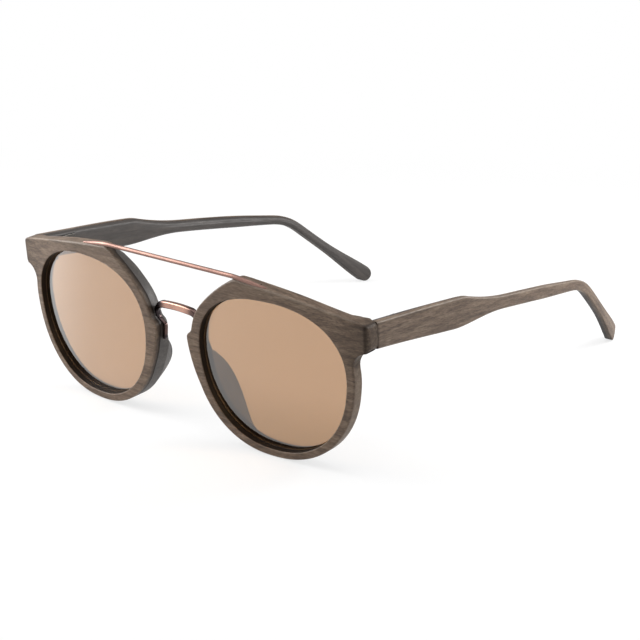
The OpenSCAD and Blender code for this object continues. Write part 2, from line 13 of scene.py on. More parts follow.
import bpy
import numpy as np
from mathutils import Euler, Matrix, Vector


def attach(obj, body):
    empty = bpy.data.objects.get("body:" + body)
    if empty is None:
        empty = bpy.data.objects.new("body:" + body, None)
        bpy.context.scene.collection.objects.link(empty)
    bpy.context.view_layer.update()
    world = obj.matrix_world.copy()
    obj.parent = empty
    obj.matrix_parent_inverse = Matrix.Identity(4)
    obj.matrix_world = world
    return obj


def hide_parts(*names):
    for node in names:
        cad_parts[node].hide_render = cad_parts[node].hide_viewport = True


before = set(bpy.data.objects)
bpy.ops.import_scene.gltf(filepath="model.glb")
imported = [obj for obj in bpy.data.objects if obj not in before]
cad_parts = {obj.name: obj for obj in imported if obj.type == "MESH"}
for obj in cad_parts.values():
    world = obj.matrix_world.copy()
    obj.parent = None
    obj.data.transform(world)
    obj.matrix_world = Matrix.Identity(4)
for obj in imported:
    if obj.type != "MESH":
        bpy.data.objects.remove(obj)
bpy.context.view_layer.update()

log = logging.getLogger("sunglasses")
Array = np.ndarray
Tree = bpy.types.NodeTree
Node = bpy.types.Node
Socket = bpy.types.NodeSocket
Material = bpy.types.Material
# A stretch of outline: its points, how they draw in at the back, and the angles of the lens opposite.
Run = tuple[Array, Array, Array]
MM = 0.001
# Faces that meet at a larger angle than this keep a sharp edge.
SHARP_ANGLE = math.radians(38)
# Shift in mm that takes the right pieces' grain from another part of the wood.
OTHER_BOARD = (83, 29, 11)


class Side(Enum):
    """The wearer's side of a piece, with the sign of x on it."""

    LEFT = 1
    RIGHT = -1

    @property
    def label(self) -> str:
        """The side's prefix in node names."""
        return self.name.lower()


def eased(u: Array | float) -> Array:
    """Goes from 0 to 1 along 3u^2 - 2u^3, flat at both ends."""
    w = np.clip(u, 0.0, 1.0)
    return w * w * (3 - 2 * w)


def stretch(t: Array, start: float, rise: float, end: float, fall: float) -> Array:
    """Marks a stretch of t, as a column: eased up over rise after start, and down over fall before end."""
    return (eased((t - start) / rise) * eased((end - t) / fall))[:, None]


def quarter(count: int) -> Array:
    """Angles of a quarter turn in radians, evenly spaced."""
    return np.linspace(0, np.pi / 2, count)


def signed_power(u: Array, e: float) -> Array:
    """Raises the size of u to the power e and keeps its sign."""
    return np.sign(u) * np.abs(u) ** e


def unit(rows: Array) -> Array:
    """Scales the vectors along the last axis to length 1."""
    return rows / np.linalg.norm(rows, axis=-1, keepdims=True)


def way_along(points: Array) -> Array:
    """Distance along a row of flat points, from 0 at the first."""
    return np.concatenate([[0], np.cumsum(np.hypot(*np.diff(points, axis=0).T))])


def softened(values: Array, spacing: float, width: float) -> Array:
    """Rounds a closed row of samples off with a Gaussian of the given width.

    Args:
        values: Samples along the first axis, evenly spaced, the last next to the first.
        spacing: Distance between samples in mm.
        width: Standard deviation of the Gaussian in mm.

    Returns:
        The rounded samples: each frequency f is damped by exp(-2 pi^2 width^2 f^2).
    """
    spectrum = np.fft.rfft(values, axis=0)
    f = np.fft.rfftfreq(len(values), spacing)
    damping = np.exp(-2 * (np.pi * width * f) ** 2)
    return np.fft.irfft(spectrum * damping[:, None], len(values), axis=0)


def rolled(values: Array, rounds: int) -> Array:
    """Rounds an open row off, its ends kept, by averaging each sample with its neighbours again and again.

    Args:
        values: Samples along the first axis.
        rounds: How often the row is averaged.

    Returns:
        The rounded row.
    """
    out = values.astype(float).copy()
    for _ in range(rounds):
        out[1:-1] = (out[:-2] + 2 * out[1:-1] + out[2:]) / 4
    return out


@dataclass
class Shell:
    """A closed surface: its points in mm, its faces, and each point's place in the material."""

    points: Array  # Points, n by 3.
    quads: Array  # Four-sided faces, as point numbers.
    tris: Array  # Three-sided faces, as point numbers.
    grain: Array  # Place of each point in the material in mm: along the fibre, across it and through it.
    edge: Array  # Paled up to 1 for wear and painted highlight, darkened to -1 for staining, patina, painted shade.

    def mirrored(self, side: Side) -> "Shell":
        """Gives the shell for a side: the left one as it is, the right one with x and its faces turned.

        Args:
            side: The wearer's side.

        Returns:
            The side's shell.
        """
        if side is Side.LEFT:
            return self
        points, grain = self.points * (-1, 1, 1), self.grain + OTHER_BOARD
        return Shell(points, self.quads[:, ::-1], self.tris[:, ::-1], grain, self.edge)

    def joined(self, other: "Shell") -> "Shell":
        """Adds another shell beside this one, as one piece.

        Args:
            other: The other shell.

        Returns:
            Both together.
        """
        n = len(self.points)
        return Shell(
            np.concatenate([self.points, other.points]),
            np.concatenate([self.quads, other.quads + n]),
            np.concatenate([self.tris, other.tris + n]),
            np.concatenate([self.grain, other.grain]),
            np.concatenate([self.edge, other.edge]),
        )

    def placed(self, matrix: Array, origin: Array) -> "Shell":
        """Turns the shell by a 3 by 3 matrix and moves it to origin."""
        return Shell(self.points @ matrix.T + origin, self.quads, self.tris, self.grain, self.edge)


def grid_shell(
    points: Array, grain: Array | None = None, edge: Array | None = None, wrap: bool = False
) -> Shell:
    """Closes a grid of points into a shell.

    Each row is a closed loop. Neighbouring rows are joined by quads; the last row meets the first where
    the grid wraps, and elsewhere the first and last rows are closed by fans to their mean points.
    Faces are turned outwards by the sign of the volume, the sum of a . (b x c) / 6 over triangles.

    Args:
        points: Rows by columns by 3, in mm.
        grain: Place in the material, in the same shape; the points themselves where it is left out.
        edge: Edge values, rows by columns, for wear, staining, patina and painted light; none where it is
            left out.
        wrap: True where the last row joins the first.

    Returns:
        The closed shell.
    """
    rows, cols = points.shape[:2]
    grain = points if grain is None else grain
    edge = np.zeros((rows, cols)) if edge is None else np.broadcast_to(edge, (rows, cols))
    number = np.arange(rows * cols).reshape(rows, cols)
    low = number if wrap else number[:-1]
    high = np.roll(number, -1, 0) if wrap else number[1:]
    quads = np.stack([low, np.roll(low, -1, 1), np.roll(high, -1, 1), high], -1).reshape(-1, 4)
    flat, flat_grain, flat_edge = points.reshape(-1, 3), grain.reshape(-1, 3), edge.reshape(-1)
    tris = np.zeros((0, 3), int)
    if not wrap:
        poles = rows * cols + np.zeros((2, cols), int) + ((0,), (1,))
        first = np.stack([poles[0], np.roll(number[0], -1), number[0]], -1)
        last = np.stack([poles[1], number[-1], np.roll(number[-1], -1)], -1)
        tris = np.concatenate([first, last])
        flat = np.concatenate([flat, points[[0, -1]].mean(1)])
        flat_grain = np.concatenate([flat_grain, grain[[0, -1]].mean(1)])
        flat_edge = np.concatenate([flat_edge, edge[[0, -1]].mean(1)])
    corners = np.concatenate([quads[:, :3], quads[:, [0, 2, 3]], tris])
    a, b, c = (flat[corners[:, i]] for i in range(3))
    if np.einsum("ij,ij->i", a, np.cross(b, c)).sum() < 0:
        quads, tris = quads[:, ::-1], tris[:, ::-1]
    return Shell(flat, quads, tris, flat_grain, flat_edge)


def revolved(radii: Array, heights: Array, around: int = 40) -> Shell:
    """Turns a profile about the Z axis: the point (r, z) becomes (r cos a, r sin a, z).

    Args:
        radii: Radius at each profile point in mm, the ends near 0.
        heights: Height at each profile point in mm.
        around: Number of points round the axis.

    Returns:
        The closed shell.
    """
    a = np.linspace(0, 2 * np.pi, around, endpoint=False)
    ring = np.stack([np.cos(a), np.sin(a)], -1)
    xy = radii[:, None, None] * ring
    z = np.broadcast_to(heights[:, None, None], xy.shape[:2] + (1,))
    return grid_shell(np.concatenate([xy, z], -1))


def rounded_box(low: Array, high: Array, radius: float, steps: int = 6) -> Shell:
    """Makes a box with rounded edges: a small ball's surface pushed apart to the box's eight corners.

    The ball's point n(a, e) moves by the sign of each of its parts times half the box's size less the radius.

    Args:
        low: Lowest corner in mm.
        high: Highest corner in mm.
        radius: Radius of the edges in mm.
        steps: Steps in a quarter turn.

    Returns:
        The closed shell.
    """
    low, high = np.asarray(low, float), np.asarray(high, float)
    small = 1e-4
    turn = np.linspace(small, np.pi / 2 - small, steps)
    a = np.concatenate([turn + k * np.pi / 2 for k in range(4)])
    e = np.concatenate([turn - np.pi / 2, turn])[:, None]
    ball = np.stack([np.cos(e) * np.cos(a), np.cos(e) * np.sin(a), np.sin(e) + 0 * a], -1)
    return grid_shell((low + high) / 2 + radius * ball + np.sign(ball) * ((high - low) / 2 - radius))


def carried(
    centre: Array, across: Array, deep: Array, a: Array, b: Array, power: float, edge: Array | float = 0.0
) -> Shell:
    """Carries a rounded section along a path.

    Round each path point the section is centre + across a |cos|^p + deep b |sin|^p, with signs kept: an
    ellipse for p = 1 and nearly a rectangle for a small p.

    Args:
        centre: Path points, n by 3.
        across: First direction of the section at each point.
        deep: Second direction of the section at each point.
        a: Half size along the first direction.
        b: Half size along the second direction.
        power: The power p.
        edge: Edge wear at each path point.

    Returns:
        The closed shell.
    """
    around = 40
    t = np.linspace(0, 2 * np.pi, around, endpoint=False)
    c, s = signed_power(np.cos(t), power), signed_power(np.sin(t), power)
    u = across[:, None] * (a[:, None] * c)[..., None]
    w = deep[:, None] * (b[:, None] * s)[..., None]
    return grid_shell(centre[:, None] + u + w, edge=np.reshape(edge, (-1, 1)))


def linear(code: str) -> tuple[float, float, float, float]:
    """Turns an sRGB hex colour into linear values with full opacity.

    Args:
        code: The colour, as #rrggbb.

    Returns:
        Red, green, blue and opacity.
    """
    u = np.array([int(code[i : i + 2], 16) for i in (1, 3, 5)]) / 255
    r, g, b = np.where(u <= 0.04045, u / 12.92, ((u + 0.055) / 1.055) ** 2.4).tolist()
    return r, g, b, 1.0


WHITE = linear("#ffffff")


def add(tree: Tree, kind: str, links: dict[Any, Any] | None = None, **settings: Any) -> Node:
    """Adds a node, sets it up and links it.

    Args:
        tree: Node tree that gets the node.
        kind: Blender's name of the node type, less the ShaderNode in front.
        links: Input sockets by name or number, each with a value or with the output socket that feeds it.
        settings: Properties of the node.

    Returns:
        The node.
    """
    node = tree.nodes.new(f"ShaderNode{kind}")
    for name, value in settings.items():
        setattr(node, name, value)
    for key, value in (links or {}).items():
        if isinstance(value, Socket):
            tree.links.new(value, node.inputs[key])
        else:
            node.inputs[key].default_value = value
    return node


def attribute(tree: Tree, name: str, output: str) -> Socket:
    """Reads one of the piece's point attributes."""
    return add(tree, "Attribute", attribute_name=name).outputs[output]


def noise(tree: Tree, place: Socket, scale: tuple[float, ...], detail: float, swirl: float = 0.0) -> Socket:
    """Adds noise on a place that is first scaled along each axis.

    Args:
        tree: Node tree that gets the nodes.
        place: The place.
        scale: Scale along each axis.
        detail: Finer octaves.
        swirl: How much the noise winds.

    Returns:
        The noise, about 0 to 1.
    """
    scaled = add(tree, "Mapping", {"Vector": place, "Scale": scale}).outputs[0]
    inputs = {"Vector": scaled, "Scale": 1.0, "Detail": detail, "Distortion": swirl}
    return add(tree, "TexNoise", inputs).outputs["Fac"]


def ranged(
    tree: Tree, value: Socket, low: float, high: float, first: Any = 0.0, last: Any = 1.0, **settings: Any
) -> Socket:
    """Maps a value from low and high to first and last, and not past them."""
    inputs = {"Value": value, 1: low, 2: high, 3: first, 4: last}
    return add(tree, "MapRange", inputs, **settings).outputs[0]


def maths(tree: Tree, kind: str, one: Socket, two: Socket, clamp: bool = False) -> Socket:
    """Adds a sum of Blender's given kind, kept between 0 and 1 if asked."""
    return add(tree, "Math", {0: one, 1: two}, operation=kind, use_clamp=clamp).outputs[0]


def blended(tree: Tree, share: Any, one: Any, two: Any, blend: str = "MIX") -> Socket:
    """Mixes two colours: one where the share is 0, two where it is 1."""
    return add(tree, "Mix", {0: share, 6: one, 7: two}, data_type="RGBA", blend_type=blend).outputs[2]


def crossed(tree: Tree, share: Socket, one: Node, two: Node) -> Node:
    """Mixes two shaders: one where the share is 0, two where it is 1."""
    return add(tree, "MixShader", {0: share, 1: one.outputs[0], 2: two.outputs[0]})


def fresh(name: str) -> tuple[Material, Tree]:
    """Starts an empty node material.

    Args:
        name: Name of the material.

    Returns:
        The material and its node tree.
    """
    made = bpy.data.materials.new(name)
    made.use_nodes = True
    made.node_tree.nodes.clear()
    return made, made.node_tree


def surfaced(tree: Tree, shader: Node) -> None:
    """Ends a material's nodes with its shader."""
    add(tree, "OutputMaterial", {"Surface": shader.outputs[0]})


@dataclass(frozen=True)
class LaminatedWood:
    """Sawn veneer, oiled: long soft bands, finer fibres along them, short open pores, paler edges.

    Edges are paled for wear and painted highlights, and darkened for staining and painted shade.
    """

    name: str
    dark: str  # Colour of the dark bands.
    middle: str  # Colour between the bands.
    light: str  # Colour of the pale bands.
    pore: str  # Colour of the pores.
    wear_and_painted_light: str  # Colour of edges paled by wear and by painted highlights.
    stain_and_shade: str  # Colour of the staining on cut sides, also used for painted shade.
    band_mm: float  # Width of a band.
    fibre_mm: float  # Width of a fibre, drawn a little coarser than real so that it shows in the render.
    pore_mm: float  # Width of a pore, drawn coarser likewise.
    strength: float  # How much fibres and pores show, 0 to 1.
    roughness: float  # Mean roughness of the oiled surface.
    shine: float  # Specular level of the oil.
    # How many times longer than wide bands, fibres and pores are.
    lengths: tuple[float, float, float] = (10.0, 6.5, 4.0)
    details: tuple[float, float, float] = (3.0, 3.0, 1.0)  # Finer octaves in bands, fibres and pores.
    swirls: tuple[float, float, float] = (0.5, 0.2, 0.0)  # How much bands, fibres and pores wind.
    band_ends: tuple[float, float] = (0.33, 0.68)  # Noise levels of the dark and the pale bands.
    fibre_ends: tuple[float, float] = (0.32, 0.7)  # Noise levels of the dark and the pale fibres.
    # How much fibres darken and lighten the bands at full strength.
    fibre_reach: tuple[float, float] = (0.5, 0.45)
    pore_ends: tuple[float, float] = (0.6, 0.7)  # Noise levels at which a pore starts and is fully open.
    pore_depth: float = 0.7  # How much of the pores' colour shows at full strength.
    rough_ends: tuple[float, float] = (0.3, 0.7)  # Noise levels of the roughest and the smoothest fibres.
    rough_spread: float = 0.07  # How far those lie from the mean roughness.
    stain_shine: float = 0.06  # Specular level where the wood is darkened, by staining and by painted shade.
    relief_mm: float = 0.06  # Depth of the fibres and pores.

    def material(self) -> Material:
        """Builds the wood's nodes on the piece's own grain coordinates.

        Returns:
            The material.
        """
        made, tree = fresh(self.name)
        grain = attribute(tree, "grain", "Vector")
        widths = (self.band_mm, self.fibre_mm, self.pore_mm)
        bands, fibres, pits = (
            noise(tree, grain, (1 / (wide * long), 1 / wide, 1 / wide), detail, swirl)
            for wide, long, detail, swirl in zip(widths, self.lengths, self.details, self.swirls)
        )
        ramp = add(tree, "ValToRGB", {"Fac": bands})
        stops = ramp.color_ramp.elements
        for stop, level, code in zip(stops, self.band_ends, (self.dark, self.light)):
            stop.position = level
            stop.color = linear(code)
        stops.new(0.5).color = linear(self.middle)
        darken, lighten = (self.strength * reach for reach in self.fibre_reach)
        lines = ranged(tree, fibres, *self.fibre_ends, 1 - darken, 1 + lighten)
        streaked = blended(tree, 1.0, ramp.outputs["Color"], lines, "MULTIPLY")
        pores = ranged(tree, pits, *self.pore_ends, 0.0, self.pore_depth * self.strength)
        pored = blended(tree, pores, streaked, linear(self.pore))
        edge = attribute(tree, "edge", "Fac")
        # Paled edges: wear together with a painted highlight along them.
        rubbed_and_highlit = maths(tree, "MULTIPLY", edge, fibres, clamp=True)
        shown = blended(tree, rubbed_and_highlit, pored, linear(self.wear_and_painted_light))
        # Darkened parts: staining on cut sides, and painted shade.
        stain_and_shade_share = ranged(tree, edge, 0.0, -1.0)
        coarse, fine = self.roughness + self.rough_spread, self.roughness - self.rough_spread
        height = maths(tree, "SUBTRACT", fibres, pores)
        relief = {"Height": height, "Strength": 0.5 * self.strength, "Distance": self.relief_mm * MM}
        wood = add(
            tree,
            "BsdfPrincipled",
            {
                "Base Color": blended(tree, stain_and_shade_share, shown, linear(self.stain_and_shade)),
                "Roughness": ranged(tree, fibres, *self.rough_ends, coarse, fine),
                "Normal": add(tree, "Bump", relief).outputs[0],
                "IOR": 1.5,
                "Specular IOR Level": ranged(tree, stain_and_shade_share, 0.0, 1.0, self.shine, self.stain_shine),
            },
        )
        surfaced(tree, wood)
        return made


@dataclass(frozen=True)
class PlatedMetal:
    """Drawn and plated metal, satin: fine lines along the wire and a patchy tarnish that dulls it."""

    name: str
    bright: str  # Colour of the clean plating.
    tarnish: str  # Colour of the tarnish.
    share: float  # How much tarnish shows, 0 to 1.
    roughness: float  # Roughness of the clean plating.
    line_mm: float = 0.25  # Spacing of the fine lines, drawn coarser than real so that they show.
    line_length: float = 20.0  # How many times longer than that the lines are.
    line_ends: tuple[float, float] = (0.3, 0.7)  # Noise levels of the smoothest and the roughest lines.
    line_reach: tuple[float, float] = (0.06, 0.08)  # How far those lie below and above the roughness.
    relief_mm: float = 0.02  # Depth of the lines.
    patch_mm: float = 5.0  # Size of the tarnish patches.
    patch_ends: tuple[float, float] = (0.4, 0.7)  # Noise levels of the clean and the tarnished patches.

    def material(self) -> Material:
        """Builds the metal's nodes on Object coordinates, which are metres.

        Returns:
            The material.
        """
        made, tree = fresh(self.name)
        place = add(tree, "TexCoord").outputs["Object"]
        line, patch = 1 / (self.line_mm * MM), 1 / (self.patch_mm * MM)
        lines, patches = (
            noise(tree, place, scale, 2.0)
            for scale in ((line / self.line_length, line, line), (patch, patch, patch))
        )
        tarnished = ranged(tree, patches, *self.patch_ends, 0.0, self.share)
        dull = maths(tree, "SUBTRACT", tarnished, attribute(tree, "edge", "Fac"), clamp=True)
        below, above = self.line_reach
        metal = add(
            tree,
            "BsdfPrincipled",
            {
                "Base Color": blended(tree, dull, linear(self.bright), linear(self.tarnish)),
                "Metallic": 1.0,
                "Roughness": ranged(
                    tree, lines, *self.line_ends, self.roughness - below, self.roughness + above
                ),
                "Normal": add(
                    tree, "Bump", {"Height": lines, "Strength": 0.08, "Distance": self.relief_mm * MM}
                ).outputs[0],
            },
        )
        surfaced(tree, metal)
        return made


@dataclass(frozen=True)
class TintedLens:
    """Cast brown resin lens with a flash coat: even tint, a touch deeper low down, and a pale mirror film."""

    name: str = "flash_coated_brown_resin"
    upper: str = "#b0875f"  # Tint above the lens's middle.
    lower: str = "#9e7549"  # Tint at the lens's bottom.
    shadow: str = "#e8d8c4"  # Tint of the light that it lets through to the table.
    coat_ior: float = 1.72  # Index of the mirror film, which gives its brightness.
    fade_mm: float = 20.0  # Height over which the tint deepens.

    def material(self) -> Material:
        """Builds the lens's nodes; lamps pass through it by way of the light path.

        Returns:
            The material.
        """
        made, tree = fresh(self.name)
        up = add(tree, "SeparateXYZ", {0: attribute(tree, "grain", "Vector")}).outputs["Y"]
        fade = ranged(tree, up, -self.fade_mm, 0.0, interpolation_type="SMOOTHSTEP")
        resin = add(
            tree,
            "BsdfPrincipled",
            {
                "Base Color": blended(tree, fade, linear(self.lower), linear(self.upper)),
                "Roughness": 0.0,
                "IOR": 1.5,
                "Transmission Weight": 1.0,
                "Coat Weight": 1.0,
                "Coat IOR": self.coat_ior,
                "Coat Roughness": 0.02,
            },
        )
        clear = add(tree, "BsdfTransparent", {"Color": linear(self.shadow)})
        shadow_ray = add(tree, "LightPath").outputs["Is Shadow Ray"]
        surfaced(tree, crossed(tree, shadow_ray, resin, clear))
        return made


@dataclass
class Finishes:
    """The object's finishes, each made once."""

    walnut: Material = field(
        default_factory=LaminatedWood(
            "smoked_walnut_oiled",
            dark="#4f4034", middle="#604f41", light="#716050",
            pore="#332a24", wear_and_painted_light="#7f7163", stain_and_shade="#161210",
            band_mm=1.1, fibre_mm=0.26, pore_mm=0.26, strength=0.6, roughness=0.5, shine=0.3,
        ).material
    )
    ebony: Material = field(
        default_factory=LaminatedWood(
            "blacked_ebony_oiled",
            dark="#36312e", middle="#3d3835", light="#46403c",
            pore="#221e1c", wear_and_painted_light="#57514d", stain_and_shade="#161210",
            band_mm=1.2, fibre_mm=0.35, pore_mm=0.3, strength=0.25, roughness=0.5, shine=0.42,
        ).material
    )
    copper: Material = field(
        default_factory=PlatedMetal(
            "rose_copper_plated_satin", "#8f7066", "#6e544d", share=0.5, roughness=0.4
        ).material
    )
    dark_copper: Material = field(
        default_factory=PlatedMetal(
            "antique_copper_satin", "#bf9585", "#3a3335", share=0.35, roughness=0.2
        ).material
    )
    steel: Material = field(
        default_factory=PlatedMetal(
            "blackened_steel_brushed", "#565350", "#3a3836", share=0.5, roughness=0.32
        ).material
    )
    lens: Material = field(default_factory=TintedLens().material)


def linked(name: str, data: bpy.types.ID) -> bpy.types.Object:
    """Makes an object of some data and links it into the scene.

    Args:
        name: Name of the object.
        data: Its mesh, lamp or camera.

    Returns:
        The object.
    """
    made = bpy.data.objects.new(name, data)
    bpy.context.scene.collection.objects.link(made)
    return made


def meshed(name: str, points: Any, faces: list[Any], finish: Material) -> bpy.types.Object:
    """Puts a mesh of one material into the scene.

    Args:
        name: Name of the mesh and its object.
        points: Points in metres.
        faces: Faces, as point numbers.
        finish: The material.

    Returns:
        The object.
    """
    mesh = bpy.data.meshes.new(name)
    mesh.from_pydata(points, [], faces)
    mesh.materials.append(finish)
    return linked(name, mesh)


def show(node: str, shell: Shell, body: str, finish: Material) -> None:
    """Puts a shell into the scene as the piece that stands for a CAD node.

    Args:
        node: The CAD node.
        shell: The piece's surface, in mm.
        body: Body that it rides on.
        finish: Its material.
    """
    piece = meshed(f"{node}_shape", shell.points * MM, shell.quads.tolist() + shell.tris.tolist(), finish)
    mesh = piece.data
    for name, kind, key, values in (
        ("grain", "FLOAT_VECTOR", "vector", shell.grain),
        ("edge", "FLOAT", "value", shell.edge),
    ):
        mesh.attributes.new(name, kind, "POINT").data.foreach_set(key, values.ravel().astype(np.float32))
    mesh.polygons.foreach_set("use_smooth", np.ones(len(mesh.polygons), bool))
    mesh.set_sharp_from_angle(angle=SHARP_ANGLE)
    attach(piece, body)
    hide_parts(node)
    log.info("%s: %d points on %s", piece.name, len(shell.points), body)


@dataclass
class RimOutline:
    """The left rim's outline, evenly spaced."""

    outer: Array  # Outer edge, n by 2, as x and v.
    # How far each point is drawn in towards the lens for a full share of the back's rounding.
    inward: Array
    opening: Array  # Edge of the lens opening opposite each point.
    turn: Array  # Angle of that place round the lens, in degrees.


@dataclass
class FrontForm:
    """Sizes that the whole front shares, in mm and degrees."""

    lens_a: float = 24.3  # Half width of the lens opening.
    lens_b: float = 21.4  # Half its height.
    lens_x: float = 35.7  # Distance of its middle from the front's middle.
    lens_v: float = 23.8  # Height of its middle.
    lens_square: float = 2.28  # How square its oval is; 2 is an ellipse.
    lens_panto: float = 0.11  # Share by which it is wider above its middle.
    front_t: float = 2.0  # Thickness of the front layer.
    back_t: float = 3.8  # Thickness of the back layer.
    front_r: float = 455.0  # Radius of the front's arc, seen from above.
    lean: float = 4.6  # Forward lean of the front.
    bottom_w: float = 2.4  # Width of the rim under the lens.
    temporal_w: float = 2.7  # Width of the rim on the temporal side.
    nasal_w: float = 3.4  # Width of the rim on the nose side.
    brow_w: float = 3.9  # Width of the rim over the lens.
    brow_slope: float = 6.8  # Fall of the brow line outwards.
    brow_r: float = 420.0  # Radius of the brow line's arch.
    brow_corner: float = 10.2  # Distance of the brow's nose corner from the lens's middle.
    # Where the brow's back starts to draw in, past the end's flat back, and over what length.
    brow_clear: tuple[float, float] = (8.0, 9.0)
    shoulder: float = 16.0  # Height of the shoulder's lower end above the lens's middle.
    shoulder_bulge: float = 0.7  # Bulge of the shoulder.
    shoulder_way: float = 50.0  # Direction of that bulge, from upright towards the nose.
    notch: float = 6.3  # Height of the nose flare's upper end above the lens's middle.
    notch_h: float = 1.4  # Height of the notch above the flare.
    flare_w: float = 1.8  # Width of the flare.
    flare_l: float = 14.0  # Length of the flare.
    end_reach: float = 4.8  # Reach of the end piece past the rim.
    end_up: float = 12.6  # Height of the end piece's lower edge above the lens's middle.
    end_fillet: float = 4.6  # Fillet under the end piece.
    end_edge_r: float = 1.5  # Rounding of the end piece's upright edge, seen from above.
    end_flat: float = 10.8  # Width of the end piece's flat back.
    end_round: float = 1.4  # Rounding of the end piece's corners.
    # Angles round the lens opposite the end piece's foot and top.
    end_turns: tuple[float, float] = (36.0, 46.0)
    corner_turn: float = 107.0  # Angle opposite the brow's nose corner.
    pad_at: float = 205.0  # Angle of the nose pad's middle.
    pad_l: float = 23.0  # Length of the pad.
    pad_lead: float = -0.06  # Share by which the pad's upper end is drawn out.
    pad_trail: float = 0.4  # Share by which its lower end is drawn out.
    pad_free: float = 15.0  # Angle past the pad's ends over which the rim's back comes to draw in.

    def __post_init__(self) -> None:
        """Works the derived sizes out from the given ones."""
        self.rim_b = self.lens_b + self.bottom_w
        half = self.lens_a + (self.nasal_w + self.temporal_w) / 2
        self.rim = self.lens_x + (self.temporal_w - self.nasal_w) / 2, half, self.rim_b
        self.hole = self.lens_x, self.lens_a, self.lens_b
        self.rim_t = self.front_t + self.back_t
        self.end_bottom = self.lens_v + self.end_up
        self.fillet_v = self.end_bottom - self.end_fillet
        self.fillet_turn = float(self.rim_angle(self.fillet_v))
        self.wall_x = float(self.oval(*self.rim, self.fillet_turn)[0])
        self.end_x = self.wall_x + self.end_reach
        self.corner_x = self.lens_x - self.brow_corner
        self.shoulder_turn = 180 - float(self.rim_angle(self.lens_v + self.shoulder))
        self.flare_top = self.lens_v + self.notch
        self.flare_foot = self.flare_top - self.flare_l
        self.flat_x = self.end_x - self.end_flat
        self.seam_d = float(self.arc_depth(self.flat_x)) + self.rim_t
        self.lean_y = float(self.arc_depth(self.lens_x))
        span = math.degrees(math.asin(self.pad_l / 2 / self.lens_a))
        self.pad_ends = self.pad_at - span * (1 + self.pad_lead), self.pad_at + span * (1 + self.pad_trail)
        self.hinge_v = float(self.end_bottom + self.brow(self.end_x)) / 2
        self.hinge_z = float(self.place(0, self.seam_d, self.hinge_v)[2])
        self.backwards = self.place(0, 1, 0) - self.place(0, 0, 0)

    def arc_depth(self, x: Array | float) -> Array:
        """Depth of the front's large arc at x: R - sqrt(R^2 - x^2)."""
        return self.front_r - np.sqrt(self.front_r**2 - np.square(x))

    def depth(self, x: Array) -> Array:
        """Depth of the front face at x: the large arc, then a quarter circle round the end's upright edge.

        Args:
            x: Distances across.

        Returns:
            The depths.
        """
        turn_x = self.end_x - self.end_edge_r
        past = np.clip(x - turn_x, 0, self.end_edge_r)
        return self.arc_depth(np.minimum(x, turn_x)) + self.end_edge_r - np.sqrt(self.end_edge_r**2 - past**2)

    def place(self, x: Array | float, d: Array | float, v: Array | float) -> Array:
        """Leans a point of the front forward: a turn about the X axis at the lens's depth.

        Args:
            x: Distance across.
            d: Depth behind the front's foremost point.
            v: Height in the front's own frame.

        Returns:
            The points in the shared frame, in mm.
        """
        c, s = math.cos(math.radians(self.lean)), math.sin(math.radians(self.lean))
        x, d, v = np.broadcast_arrays(np.asarray(x, float), d, v)
        behind = d - self.lean_y
        return np.stack([x, self.lean_y + behind * c - v * s, behind * s + v * c], -1)

    def oval(self, x: float, a: float, b: float, turn: Array | float) -> Array:
        """Squared oval, wider above its middle.

        Its points are x + a c (1 + p s) and v + b s, with c and s the cosine and sine of the angle raised to
        the power 2 / n with their signs kept.

        Args:
            x: Distance of its middle across.
            a: Half its width.
            b: Half its height.
            turn: Angles in degrees.

        Returns:
            The points, as x and v.
        """
        t = np.radians(turn)
        c, s = (signed_power(part, 2 / self.lens_square) for part in (np.cos(t), np.sin(t)))
        return np.stack([x + a * c * (1 + self.lens_panto * s), self.lens_v + b * s], -1)

    def rim_angle(self, v: Array | float) -> Array:
        """Angle on the rim's outer oval at height v, in degrees."""
        share = (np.asarray(v) - self.lens_v) / self.rim_b
        return np.degrees(np.arcsin(signed_power(share, self.lens_square / 2)))

    def brow(self, x: Array | float) -> Array:
        """Height of the brow line at x: a slope with a wide arch.

        Args:
            x: Distances across.

        Returns:
            The heights.
        """
        off = np.asarray(x) - self.lens_x
        top = self.lens_v + self.lens_b + self.brow_w
        return top - math.tan(math.radians(self.brow_slope)) * off - off**2 / (2 * self.brow_r)

    def rim_nasal_x(self, v: Array) -> Array:
        """The nose side of the rim's outer oval at height v."""
        return self.oval(*self.rim, 180 - self.rim_angle(v))[..., 0]

    def fillet_run(self, count: int = 24) -> Run:
        """Fillet between the rim's temporal side and the end piece's lower edge.

        Args:
            count: Number of points.

        Returns:
            The run.
        """
        t = np.linspace(180, 90, count)
        ring = np.stack([np.cos(np.radians(t)), np.sin(np.radians(t))], -1)
        centre = np.array([self.wall_x + self.end_fillet, self.fillet_v])
        inward = self.temporal_w * ((t - 90) / 90)[:, None] * ring
        turns = np.linspace(self.fillet_turn, self.end_turns[0], count)
        return centre + self.end_fillet * ring, inward, turns

    def end_run(self, count: int = 8) -> Run:
        """End piece: its lower corner, its upright edge and its upper corner, none of it drawn in.

        Args:
            count: Number of points on each of the three.

        Returns:
            The run.
        """
        arc = np.radians(np.linspace(10, 90, count))[:, None]
        turned = self.end_round * np.concatenate([1 - np.cos(arc), 1 - np.sin(arc)], 1)
        foot = np.array([self.end_x, self.end_bottom])
        top = np.array([self.end_x, float(self.brow(self.end_x))])
        up = np.linspace(foot[1] + self.end_round, top[1] - self.end_round, count)
        edge = np.stack([np.full(count, self.end_x), up], -1)
        points = np.concatenate([foot - turned[::-1] * (1, -1), edge, top - turned])
        low, high = self.end_turns
        return points, np.zeros_like(points), np.linspace(low + 0.5, high, len(points))

